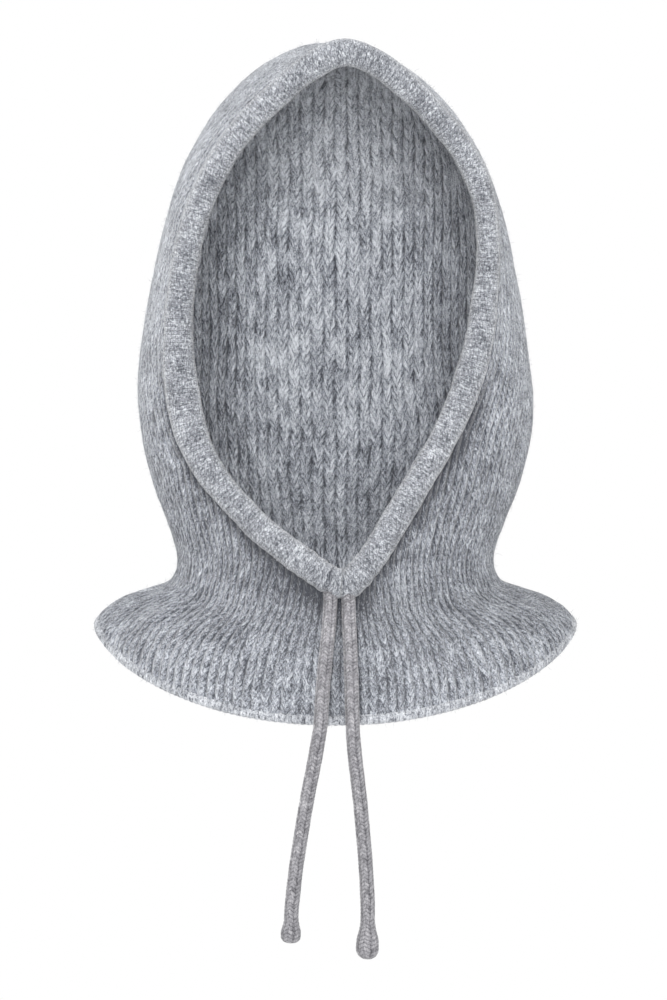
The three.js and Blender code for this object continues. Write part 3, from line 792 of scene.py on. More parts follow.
@dataclass(frozen=True)
class StitchRelief:
    """The raised form of a knit face, from its wale and course numbers.

    A wale is a rib with its crest at each whole number. Its two legs rise from the middle outwards and make
    a V in each course.
    """

    rib: float
    leg: float
    slope: float
    grain: Unevenness
    roundness: float = 2.4
    parting: float = 0.18
    parting_depth: float = 0.6
    leg_bulge: float = 0.85
    # Levels that bring the average height of the ribs and of the legs to about zero
    rib_level: float = 0.62
    leg_level: float = 0.35

    @staticmethod
    def across(wale: np.ndarray) -> np.ndarray:
        """Zero at the crest of a wale and one in the groove beside it."""
        return 2 * np.abs(wale - np.round(wale))

    def height(self, wale: np.ndarray, course: np.ndarray) -> np.ndarray:
        """Height of the face above its middle surface, without its grain.

        Formula: the rib falls from its crest with a power of the way to the groove, less a narrow parting in
        the middle. A leg adds a sine arch across it, times one minus the square of the way from the leg's
        own middle along the wale, which shifts up with the slope.

        Args:
            wale: Wale numbers, whole at the crests.
            course: Course numbers.

        Returns:
            Heights in millimetres, about zero on average.
        """
        across = self.across(wale)
        parting = self.parting_depth * np.exp(-((across / self.parting) ** 2))
        crest = self.rib_level - across**self.roundness
        return self.rib * crest + self.leg * (self.leg_share(wale, course) - self.leg_level - parting)

    def leg_share(self, wale: np.ndarray, course: np.ndarray) -> np.ndarray:
        """One on the middle of a leg, and zero in the gaps round it.

        Formula: a sine arch across the leg, times one minus the square of the way from its middle along it.

        Args:
            wale: Wale numbers, whole at the crests.
            course: Course numbers.

        Returns:
            A share for each point.
        """
        across = self.across(wale)
        along = 2 * np.mod(course - self.slope * across, 1.0) - 1
        return np.sin(math.pi * across**self.leg_bulge) * (1 - along**2)


@dataclass
class KnitWall:
    """A piece of knit wall: an outer and an inner grid of points, each with normals and stitches."""

    side: Side
    lines: np.ndarray
    grids: list[np.ndarray]
    normals: list[np.ndarray]
    stitches: list[np.ndarray]

    def columns(self, first: int, last: int | None = None) -> "KnitWall":
        """Cuts out the part from one column up to another."""
        parts = ([grid[first:last] for grid in grids] for grids in (self.grids, self.normals, self.stitches))
        return KnitWall(self.side, self.lines[first:last], *parts)

    def flat_size(self) -> tuple[float, float, float]:
        """Measures the cloth as if laid flat, as wide as it is worn.

        Formula: the widest row, the longest line, and the sum of the cells' widths times their lengths.

        Returns:
            Width and length in metres, and area in square metres.
        """
        widths = np.linalg.norm(np.diff(self.lines, axis=0), axis=-1)
        lengths = np.linalg.norm(np.diff(self.lines, axis=1), axis=-1)
        area = (widths[:, :-1] * lengths[:-1]).sum()
        return widths.sum(axis=0).max() * METRES, lengths.sum(axis=1).max() * METRES, area * METRES**2

    def mesh(self) -> tuple[np.ndarray, np.ndarray, np.ndarray, np.ndarray]:
        """Closes the wall with a rim between its two grids.

        Returns:
            Points, faces, stitches and shading normals.
        """
        faces = wall_faces(*self.grids[0].shape[:2])
        faces = faces if self.side is Side.LEFT else faces[:, ::-1]
        points, normals, stitches = (
            np.concatenate([grid.reshape(-1, 3) for grid in grids])
            for grids in (self.grids, self.normals, self.stitches)
        )
        return points, faces, stitches, normals


@dataclass
class KnitBody:
    """Crown, sides, neck and cape: the ribbed wall, in closed panels that meet in the grooves of ribs."""

    form: HoodForm

    # Ribs from the centre back to the panels' cut and to the centre front, and how they are spread
    back_ribs: float = 23.5
    all_ribs: int = 68
    front_extra: float = 2.5
    back_stretch: float = 0.24
    side_squeeze: float = 0.145
    courses: float = 70.0
    fine_courses: float = 1.5
    samples_per_rib: int = 6
    head_rows: int = 226
    front_rows: int = 90
    upright_above: float = -200.0
    upright_ribs: Fade = Fade(30.0, 15.0)

    # Relief of the two faces, and the width of a rib below which it shrinks
    outside: StitchRelief = StitchRelief(1.4, 0.0, 1.3, Unevenness(0.16, (2.7, 2.1), 16, 17.0))
    inside: StitchRelief = StitchRelief(0.9, 0.6, 1.4, Unevenness(0.16, (2.7, 2.1), 16, -17.0))
    tight_pitch: float = 4.5
    least_relief: float = 0.05
    seat: float = 1.1

    # Uneven hand of the knit
    wander: Unevenness = Unevenness(0.14, (1 / 3, 1 / 4), 11)
    fine_wander: Unevenness = Unevenness(0.084, (1.3, 0.9), 12)
    swell: Unevenness = Unevenness(0.7, (1 / 5, 1 / 6), 13, 40.0)
    depth: Unevenness = Unevenness(0.4, (0.7, 0.6), 14, 9.0)
    course_rise: Unevenness = Unevenness(0.35, (0.6, 1 / 3), 15)
    patches: Unevenness = Unevenness(0.6, (1.1, 0.8), 17, 3.0)
    patch_level: float = 0.8

    # Where the relief fades: by the distance from the crown seam and from the hem, and by the height
    seam_relief: float = 0.25
    seam_fade: Fade = Fade(0.0, 16.0)
    hem_fade: Fade = Fade(0.0, 4.0)
    hem_dip: float = 1.0
    hem_dip_fade: Fade = Fade(3.0, 0.0)
    felted_relief: float = 0.5
    felting_end: Fade = Fade(-120.0, -270.0)

    # The fold beside the tube and its painted shade, and the slack at the right of the crown
    fold_depth: float = 2.2
    fold_reach: float = 6.5
    fold_heights: Fade = Fade(-170.0, -235.0)
    fold_shade: float = 1.1
    fold_shade_reach: float = 9.75
    rim_places: int = 240
    crown_slack: float = 2.8
    slack_heights: Fade = Fade(-240.0, -170.0)
    slack_aside: Fade = Fade(0.0, 30.0)
    slack_off_tube: Fade = Fade(0.0, 13.0)

    # Painted shade: in grooves, low down, and on the neck where narrow ribs crowd; on the inside also towards
    # the sides and low down; painted light over the whole inside; and random clumps of tone on the inside
    groove_power: float = 2.5
    outside_shade: float = 0.5
    # Painted shade low down, where less light from above reaches
    low_shade: float = 0.04
    # Painted shade on the neck, where narrow ribs crowd
    neck_painted_shade: float = 0.12
    neck_shade_widths: Fade = Fade(6.6, 4.1)
    neck_shade_heights: Fade = Fade(-200.0, -260.0)
    inside_shade: float = 0.5
    # Painted light that makes the whole inside paler
    inside_painted_light: float = 0.3
    gap_level: float = 0.42
    # Painted shade on the inside, towards the sides and low down
    inner_painted_shade: float = 0.34
    inner_shade_aside: Fade = Fade(35.0, 80.0)
    inner_shade_low: float = 0.7
    inner_shade_heights: Fade = Fade(-190.0, -260.0)
    clump_shade: float = 0.2
    clumps: tuple[Unevenness, ...] = (
        Unevenness(1.0, (0.9, 1 / 2.5), 18),
        Unevenness(1.0, (2.1, 1 / 1.2), 19),
    )

    panels: dict[str, list[KnitWall]] = field(default_factory=dict)
    pieces: dict[str, bpy.types.Object] = field(default_factory=dict)

    @property
    def walls(self) -> list[KnitWall]:
        """The walls of all panels, in their order."""
        return [wall for walls in self.panels.values() for wall in walls]

    def wall(self, side: Side, lines: np.ndarray, wale: np.ndarray, course: np.ndarray) -> KnitWall:
        """Gives rib lines their thickness and their stitches.

        Formula: the outer face lies on the body's surface, seated a little below it, and the inner one a wall
        below the surface, each along the normal and plus its relief. Ribs on the inside lie between those on
        the outside. The relief shrinks where the lines draw together, where wear has felted the crown, at the
        crown seam and at the hem, where the outer face dips under the bound edge. Both faces swell unevenly,
        and sink in the fold beside the tube and with the slack of the crown.

        Args:
            side: The side that the lines are on.
            lines: Points of the outer face, as an array of line, point and coordinate.
            wale: Wale number of each line.
            course: Course number of each point.

        Returns:
            The wall.
        """
        normals = self.even_normals(side, lines)
        z = lines[..., 2]
        above_hem = np.cumsum(np.linalg.norm(np.gradient(lines, axis=1), axis=-1), axis=1)
        below_seam = above_hem[:, -1:] - above_hem
        calm = mix(self.seam_relief, 1.0, self.seam_fade.at(below_seam)) * self.hem_fade.at(above_hem)
        worn = mix(self.felted_relief, 1.0, self.felting_end.at(z))
        fold, sink = self.fold(side, lines)
        wale = np.broadcast_to(wale[:, None] * side.value, z.shape)
        wander = self.wander.at(wale, course) + self.fine_wander.at(wale, course)
        course = course + self.course_rise.at(wale, course)
        patchy = self.patch_level + self.patches.at(wale, course)
        wales = {Face.OUTSIDE: wale, Face.INSIDE: self.upright_wale(lines, wale) + 0.5}
        widths = {face: self.rib_width(lines, number) for face, number in wales.items()}
        least, tight = self.least_relief, self.tight_pitch
        pitches = {face: np.clip(width / tight, least, 1.0) for face, width in widths.items()}
        depth = 1 + self.depth.at(wale, course)
        level = self.swell.at(wale, course) * calm * pitches[Face.OUTSIDE] - sink
        grids, faces_normals, stitches = [], [], []
        for face, relief in ((Face.OUTSIDE, self.outside), (Face.INSIDE, self.inside)):
            own_wale, own_course, pitch = wales[face] + wander, course, pitches[face]
            height = (relief.height(own_wale, course) * depth + relief.grain.at(wale, course)) * calm * pitch
            groove = relief.across(own_wale) ** self.groove_power * pitch * patchy
            if face is Face.OUTSIDE:
                rise = height * worn - self.hem_dip * self.hem_dip_fade.at(above_hem) - self.seat
                # Painted shade outside: in the fold beside the tube, low down, on the neck and in the grooves
                neck_shade_share = self.neck_shade_widths.at(widths[face]) * self.neck_shade_heights.at(z)
                shade = fold + self.low_shade * self.felting_end.at(z) + self.neck_painted_shade * neck_shade_share
                shade = shade + self.outside_shade * groove * worn
                own_course = course * self.fine_courses
            else:
                rise = -self.form.wall - height
                # Inside: painted shade in grooves, in the gaps between legs, towards the sides and low down,
                # painted light over all of it, and random clumps of tone
                gaps = (self.gap_level - relief.leg_share(own_wale, course)) * pitch * patchy**2
                shade = self.inside_shade * (groove + gaps) - self.inside_painted_light + self.painted_inner_shade(lines)
                shade = shade + self.clump_shade * sum(noise.at(wale, course) for noise in self.clumps)
            grid = lines + normals * (level + rise)[..., None]
            grids.append(grid)
            faces_normals.append(self.even_normals(side, grid) * face.value)
            stitches.append(np.stack([own_wale, own_course, shade], axis=-1))
        return KnitWall(side, lines, grids, faces_normals, stitches)

    def painted_inner_shade(self, lines: np.ndarray) -> np.ndarray:
        """Painted shade on the inside, towards the sides and low down, where less light comes in.

        Formula: the larger one of a soft step sideways and a soft step downwards.

        Args:
            lines: Points of the outer face.

        Returns:
            A shade for each point.
        """
        aside = self.inner_shade_aside.at(np.abs(lines[..., 0]))
        low = self.inner_shade_low * self.inner_shade_heights.at(lines[..., 2])
        return self.inner_painted_shade * np.maximum(aside, low)

    def upright_wale(self, lines: np.ndarray, wale: np.ndarray) -> np.ndarray:
        """Wale numbers of the inside, where the ribs at the back stay upright up into the crown.

        Formula: above the reference height a point takes the number of the line that is as far aside at that
        height, and towards the sides this fades into the number of the point's own line.

        Args:
            lines: Points of the outer face.
            wale: Wale number of each point's line.

        Returns:
            Wale numbers, with the sign of the given ones.
        """
        if lines[:, -1, 2].max() < self.upright_above:
            return wale
        number = np.abs(wale[:, 0])
        row = int(np.argmin(np.abs(lines[0, :, 2] - self.upright_above)))
        aside = np.abs(lines[..., 0])
        widest = int(np.argmax(aside[:, row]))
        upright = np.interp(aside[:, row:], aside[:widest, row], number[:widest])
        upright_share = self.upright_ribs.at(number)[:, None]
        upright = mix(number[:, None], upright, upright_share) * np.sign(wale[-1, 0])
        return np.concatenate([wale[:, :row], upright], axis=1)

    @staticmethod
    def rib_width(lines: np.ndarray, wale: np.ndarray) -> np.ndarray:
        """Width of a rib at each point: one over the slope of the wale number along the surface.

        Args:
            lines: Points of the outer face.
            wale: Wale number of each point.

        Returns:
            Widths in millimetres.
        """
        steps = [np.linalg.norm(np.gradient(lines, axis=axis), axis=-1) for axis in (0, 1)]
        slopes = [np.gradient(wale, axis=axis) / np.maximum(steps[axis], 1e-6) for axis in (0, 1)]
        return 1 / np.maximum(np.hypot(*slopes), 1e-3)

    def fold(self, side: Side, lines: np.ndarray) -> tuple[np.ndarray, np.ndarray]:
        """The fold beside the lower half of the tube, and the slack at the right of the crown.

        Formula: the fold's depth is u e^(1 - u), with u the distance from the tube over the fold's reach. Its
        painted shade falls off by e to minus the square of the distance over the shade's own reach.

        Args:
            side: The side that the lines are on.
            lines: Points of the outer face.

        Returns:
            The painted shade in the fold, and how far the wall sinks.
        """
        x, z = lines[..., 0], lines[..., 2]
        gap = self.tube_gap(lines)
        low = self.fold_heights.at(z)
        reach = gap / self.fold_reach
        sink = self.fold_depth * reach * np.exp(1 - reach) * low
        if side is Side.RIGHT:
            clear_of_tube = self.slack_off_tube.at(gap) * self.slack_aside.at(x)
            sink = sink + self.crown_slack * self.slack_heights.at(z) * clear_of_tube
        return self.fold_shade * np.exp(-((gap / self.fold_shade_reach) ** 2)) * low, sink

    def tube_gap(self, lines: np.ndarray) -> np.ndarray:
        """Distance of each point from the tube's centre line, less half the tube's width.

        Formula: the square of a distance is the sum of the squares of two points, less twice their dot
        product, and the least one over the places on the line counts.

        Args:
            lines: Points of the outer face.

        Returns:
            Distances in millimetres, none below zero.
        """
        places = np.linspace(0, 2 * self.form.half_loop, self.rim_places, endpoint=False)
        path = self.form.rim_frame(places)[0]
        flat = lines.reshape(-1, 3)
        square = (flat**2).sum(axis=1)[:, None] + (path**2).sum(axis=1) - 2 * flat @ path.T
        nearest = np.sqrt(np.maximum(square.min(axis=1), 0)).reshape(lines.shape[:2])
        return np.maximum(nearest - self.form.casing_width / 2, 0)

    @staticmethod
    def even_normals(side: Side, grid: np.ndarray) -> np.ndarray:
        """Outward normals of a grid, with no sideways part in the middle plane, where both sides meet.

        Args:
            side: The side that the grid is on.
            grid: Points of a face of the wall.

        Returns:
            A unit normal for each point.
        """
        normals = grid_normals(grid) * -side.value
        is_middle = np.abs(grid[:, grid.shape[1] // 2, 0]) < MIDDLE_TOLERANCE
        normals[is_middle, :, 0] = 0
        return unit(normals)

    def head_ribs(self, side: BodySide) -> float:
        """Wale number of the groove at the turning angle, which leaves the front more than its share."""
        return math.floor(side.turning_angle / math.pi * self.all_ribs - self.front_extra) + 0.5

    def head_wall(self, side: BodySide) -> KnitWall:
        """The wall whose ribs rise from the hem to the crown seam.

        Formula: a rib's share of the way round is wider spaced at the centre back, and closer at the side,
        by a parabola and a sine wave.

        Args:
            side: The side that the wall is on.

        Returns:
            The wall.
        """
        last = self.head_ribs(side)
        wale = np.linspace(0, last, round(last * self.samples_per_rib) + 1)
        share = wale / last
        wave = self.side_squeeze * np.sin(2 * math.pi * share) / (2 * math.pi)
        share = share * (1 + self.back_stretch * (1 - share)) + wave
        lines, _ = even_rows(side.head_lines(share), self.head_rows)
        course = np.broadcast_to(np.linspace(0, self.courses, self.head_rows), lines.shape[:2])
        return self.wall(side.side, lines, wale, course)

    def front_wall(self, side: BodySide) -> KnitWall:
        """The wall under the face opening, whose courses are as high as those along its edge.

        Args:
            side: The side that the wall is on.

        Returns:
            The wall.
        """
        first = self.head_ribs(side)
        ribs = self.all_ribs - first
        wale = np.linspace(first, self.all_ribs, round(ribs * self.samples_per_rib) + 1)
        lines, lengths = even_rows(side.front_lines((wale - first) / ribs), self.front_rows)
        _, edge_length = even_rows(side.head_lines(np.array([1.0])), 2)
        course = lengths[:, None] / edge_length[0] * self.courses * np.linspace(0, 1, self.front_rows)
        return self.wall(side.side, lines, wale, course)

    def build(self) -> dict[str, bpy.types.Object]:
        """Makes all panels.

        Returns:
            The pieces by name.
        """
        cut = round(self.back_ribs * self.samples_per_rib)
        fronts = []
        for side in (BodySide(self.form, side) for side in Side):
            word = side.side.name.lower()
            head = self.head_wall(side)
            self.panels[f"back_{word}"] = [head.columns(0, cut + 1)]
            self.panels[f"side_{word}"] = [head.columns(cut)]
            fronts.append(self.front_wall(side))
        self.panels["throat_front"] = fronts
        for name, walls in self.panels.items():
            points, faces, stitches, normals = zip(*(wall.mesh() for wall in walls))
            starts = np.cumsum([0, *map(len, points)])
            faces = [quads + start for quads, start in zip(faces, starts)]
            arrays = (np.concatenate(parts) for parts in (points, faces, stitches, normals))
            self.pieces[name] = make_piece(name, *arrays)
        return self.pieces

    def declare(self, hems: list[bpy.types.Object]) -> None:
        """Measures the flat size of each panel as a sheet, and does nothing more with it.

        Args:
            hems: The tube round the face opening and the cape's edge, which are sewn to the panels. Not used.
        """
        for name, walls in self.panels.items():
            widths, lengths, areas = zip(*(wall.flat_size() for wall in walls))


@dataclass
class HemEdge:
    """The bound-off edge of the cape: a low roll with a short upright stitch on each half rib."""

    form: HoodForm
    band: float = 5.5
    thickness: float = 4.8
    stitches: int = 236
    samples_per_stitch: int = 5
    ring_samples: int = 16
    relief: float = 0.3
    relief_level: float = 0.3
    relief_change: Unevenness = Unevenness(0.5, (1 / 2, 0.0), 21)
    sway: Unevenness = Unevenness(0.5, (1 / 9, 0.0), 22)
    courses: float = 2.0
    surface: tuple[np.ndarray, np.ndarray] = field(init=False)
    # Share of the band from its top, share of half its thickness
    section: tuple[tuple[float, float], ...] = (
        (-0.05, 0.4),
        (0.25, 0.7),
        (0.6, 0.86),
        (0.85, 0.72),
        (0.95, 0.25),
        (0.95, -0.25),
        (0.85, -0.72),
        (0.6, -0.86),
        (0.25, -0.7),
        (-0.05, -0.4),
    )

    def build(self) -> bpy.types.Object:
        """Carries the section round the hem.

        Formula: the section's points are placed by their share of the band, down from its top, and out from
        the middle of the wall. A cosine with one wave for each stitch raises them.

        Returns:
            The new piece.
        """
        form = self.form
        count = self.stitches * self.samples_per_stitch
        turn = np.linspace(0, 2 * math.pi, count, endpoint=False)
        angle = np.where(turn <= math.pi, turn, 2 * math.pi - turn)
        mirror = np.stack([np.where(turn <= math.pi, 1.0, -1.0), np.ones(count), np.ones(count)], axis=-1)
        bottom = form.closed_surface(angle, np.zeros(count)) * mirror
        top = form.closed_surface(angle, form.level_above_hem(angle, self.band)) * mirror
        along = unit(np.roll(bottom, -1, axis=0) - np.roll(bottom, 1, axis=0))
        up = unit(top - bottom)
        outward = unit(np.cross(up, along))
        spot = np.arange(self.ring_samples) / self.ring_samples * len(self.section)
        shape = smooth_rows(np.array(self.section), spot, closed=True)
        stitch = turn / (2 * math.pi) * self.stitches
        wave = self.relief * (np.cos(2 * math.pi * stitch) - self.relief_level)
        wave = (wave * (1 + self.relief_change.at(stitch, stitch)))[:, None]
        sway = self.sway.at(stitch, stitch)[:, None]
        depth = (self.thickness / 2 + wave) * shape[:, 1] - form.wall / 2 + sway
        fall = (self.band + wave / 2) * shape[:, 0]
        points = top[:, None] - up[:, None] * fall[..., None] + outward[:, None] * depth[..., None]
        course = np.broadcast_to(shape[:, 0] * self.courses, depth.shape)
        wale = np.broadcast_to(stitch[:, None], depth.shape)
        stitches = np.stack([wale, course, np.zeros_like(course)], axis=-1)
        self.surface = (points, ring_normals(points))
        return make_piece("cape_edge", points, grid_faces(*depth.shape, True, True), stitches)


@dataclass
class FaceCasing:
    """The tubular jersey hem round the face opening."""

    form: HoodForm
    stitch_width: float = 2.3
    stitch_height: float = 2.5
    rings: int = 1080
    ring_samples: int = 32
    slow_swell: Unevenness = Unevenness(0.35, (1 / 14, 0.9), 31)
    fine_swell: Unevenness = Unevenness(0.15, (1 / 4, 1.6), 32)
    pucker: float = 0.4
    pucker_pitch: float = 7.0
    pucker_sway: float = 0.6
    gather_reach: float = 30.0
    crease_depth: float = 0.55
    crease_place: float = 7.5
    crease_sway: float = 1.5
    crease_width: float = 1.1
    # Painted shade in the crease
    crease_shade: float = 0.45
    surface: tuple[np.ndarray, np.ndarray] = field(init=False)

    def build(self) -> bpy.types.Object:
        """Carries the tube's section round the opening.

        Formula: an ellipse across the tube's line, grown by slow noise along it and by faint puckers where
        the cord draws it together at its lowest point, less a narrow crease beside it. The noise takes
        millimetres along the tube and radians round it.

        Returns:
            The new piece.
        """
        form = self.form
        fine = np.linspace(0, 2 * form.half_loop, 4001)
        run = distance_along(form.rim_frame(fine)[0])
        length = run[-1]
        along = np.linspace(0, length, self.rings, endpoint=False)[:, None]
        angle = np.linspace(0, 2 * math.pi, self.ring_samples, endpoint=False)[None, :]
        place, angle = np.broadcast_arrays(np.interp(along, run, fine), angle)
        gather = np.exp(-((np.minimum(along, length - along) / self.gather_reach) ** 2))
        fold = along * 2 * math.pi / self.pucker_pitch + self.pucker_sway * np.sin(angle)
        beside = along - self.crease_place + self.crease_sway * np.cos(angle)
        crease = np.exp(-((beside / self.crease_width) ** 2))
        grow = self.slow_swell.at(along, angle) + self.fine_swell.at(along, angle)
        grow = grow + self.pucker * gather * np.sin(fold) - self.crease_depth * crease
        points = form.rim_point(place, angle, grow)
        girth = math.pi * (form.casing_width + form.casing_depth) / 2
        wale = np.broadcast_to(along / length * round(length / self.stitch_width), angle.shape)
        course = angle / (2 * math.pi) * round(girth / self.stitch_height)
        # The crease gets painted shade
        stitches = np.stack([wale, course, self.crease_shade * crease], axis=-1)
        faces = grid_faces(self.rings, self.ring_samples, True, True)[:, ::-1]
        self.surface = (points, ring_normals(points))
        return make_piece("face_hem", points, faces, stitches)


@dataclass
class LooseFibres:
    """Wool fibres that stand off the knit and give it its halo, each a thin closed needle with a bend.

    Real ones are about 0.03 mm thick, which wouldn't show, so they are drawn thicker and fewer.
    """

    thickness: float = 0.15
    length: float = 2.1
    length_spread: tuple[float, float] = (-0.1, 0.4)
    root: float = 0.3
    lean: float = 0.75
    least_rise: float = 0.25
    lift: float = 1.1
    bend: float = 0.45
    seed: int = 51
    # Fibres for each square centimetre
    outside: float = 9.0
    inside: float = 1.5
    hem: float = 7.0
    edge: float = 14.0

    def grow(
        self, grid: np.ndarray, normals: np.ndarray, density: float, number: int
    ) -> tuple[np.ndarray, np.ndarray]:
        """Grows fibres on a surface, evenly over its area.

        Formula: a fibre starts at a random place in a random cell, chosen by area. It points along the
        normal plus a random lean, lifted where it would lie too flat, and its tip turns off by the bend.

        Args:
            grid: Points of the surface.
            normals: Outward normals of the points.
            density: Fibres for each square centimetre.
            number: Number of the surface, for the seed.

        Returns:
            Five corners for each fibre, start, three in the middle and tip, and the tone of each fibre.
        """
        random = np.random.default_rng(self.seed + number)
        sides = (grid[1:, :-1] - grid[:-1, :-1], grid[:-1, 1:] - grid[:-1, :-1])
        area = np.linalg.norm(np.cross(*sides), axis=-1)
        count = round(area.sum() / 100 * density)
        cell = random.choice(area.size, count, p=area.ravel() / area.sum())
        column, row = np.unravel_index(cell, area.shape)
        s, t = random.uniform(0, 1, (2, count, 1))
        corner = grid[column, row]
        start = corner + s * sides[0][column, row] + t * sides[1][column, row]
        normal = normals[column, row]
        heading = unit(normal + self.lean * random.normal(size=(count, 3)))
        flatness = np.maximum(0, self.least_rise - (heading * normal).sum(axis=1))[:, None]
        heading = unit(heading + self.lift * normal * flatness)
        reach = self.length * random.lognormal(*self.length_spread, (count, 1))
        turned = unit(heading + self.bend * random.normal(size=(count, 3)))
        start = start - self.root * normal
        middle = start + heading * reach / 2
        tip = middle + turned * reach / 2
        first = unit(np.cross(heading, unit(random.normal(size=(count, 3)))))
        second = np.cross(heading, first)
        ring = [
            middle + self.thickness / 2 * (math.cos(turn) * first + math.sin(turn) * second)
            for turn in (0, 2 * math.pi / 3, 4 * math.pi / 3)
        ]
        return np.stack([start, *ring, tip], axis=1), random.uniform(0, 1, count)

    def build(self, surfaces: list[tuple[np.ndarray, np.ndarray, float]]) -> bpy.types.Object:
        """Makes one piece of all fibres.

        Args:
            surfaces: Points, outward normals and fibres for each square centimetre of each surface.

        Returns:
            The new piece.
        """
        grown = [self.grow(*surface, number) for number, surface in enumerate(surfaces)]
        corners = np.concatenate([five for five, _ in grown])
        tones = np.concatenate([tone for _, tone in grown])
        fan = np.array([(2, 1, 0), (3, 2, 0), (1, 3, 0), (1, 2, 4), (2, 3, 4), (3, 1, 4)])
        faces = (np.arange(len(corners))[:, None, None] * 5 + fan).reshape(-1, 3)
        stitches = np.zeros((len(corners), 5, 3))
        stitches[..., 0] = tones[:, None]
        return make_piece("loose_fibres", corners, faces, stitches)


@dataclass(frozen=True)
class LooseWool:
    """Single wool fibres: matt, and from mid grey to nearly white by each fibre's own tone, as in heather."""

    dark: str = "#6f727a"
    pale: str = "#e2e4e8"
    roughness: float = 0.8

    def build(self) -> bpy.types.Material:
        """Makes the material.

        Returns:
            The material, which reads the tone of each fibre from the stitch attribute.
        """
        material = empty_material("loose_wool_fibre")
        tree = material.node_tree
        attribute = add_node(tree, "ShaderNodeAttribute", {"attribute_name": STITCH_ATTRIBUTE})
        parts = add_node(tree, "ShaderNodeSeparateXYZ", inputs={0: attribute.outputs["Vector"]})
        ramp = add_node(tree, "ShaderNodeValToRGB", inputs={0: parts.outputs["X"]})
        spread_colours(ramp, self.dark, self.pale)
        inputs = {
            "Base Color": ramp,
            "Roughness": self.roughness,
            "IOR": WOOL_IOR,
            "Sheen Weight": 0.3,
            "Sheen Roughness": 0.5,
        }
        shader = add_node(tree, "ShaderNodeBsdfPrincipled", inputs=inputs)
        add_node(tree, "ShaderNodeOutputMaterial", inputs={"Surface": shader})
        return material


# Y and Z of both cords down the neck, over the cape and below it, then X of the left and of the right one
CORD_ROWS = (
    (-93.5, -320.0, -2.9, 7.4),
    (-93.6, -326.5, -2.9, 7.4),
    (-97.0, -336.0, -3.5, 7.7),
    (-101.4, -345.5, -4.3, 8.1),
    (-106.8, -357.5, -5.6, 8.6),
    (-112.4, -370.0, -6.8, 9.0),
    (-118.0, -383.0, -7.7, 9.3),
    (-122.6, -396.0, -8.6, 9.7),
    (-123.9, -405.0, -10.1, 10.3),
    (-124.0, -414.6, -11.8, 11.2),
    (-123.6, -434.8, -15.7, 13.6),
    (-123.0, -455.0, -19.1, 15.5),
    (-122.4, -475.2, -22.2, 17.1),
    (-121.9, -495.4, -24.4, 18.1),
)


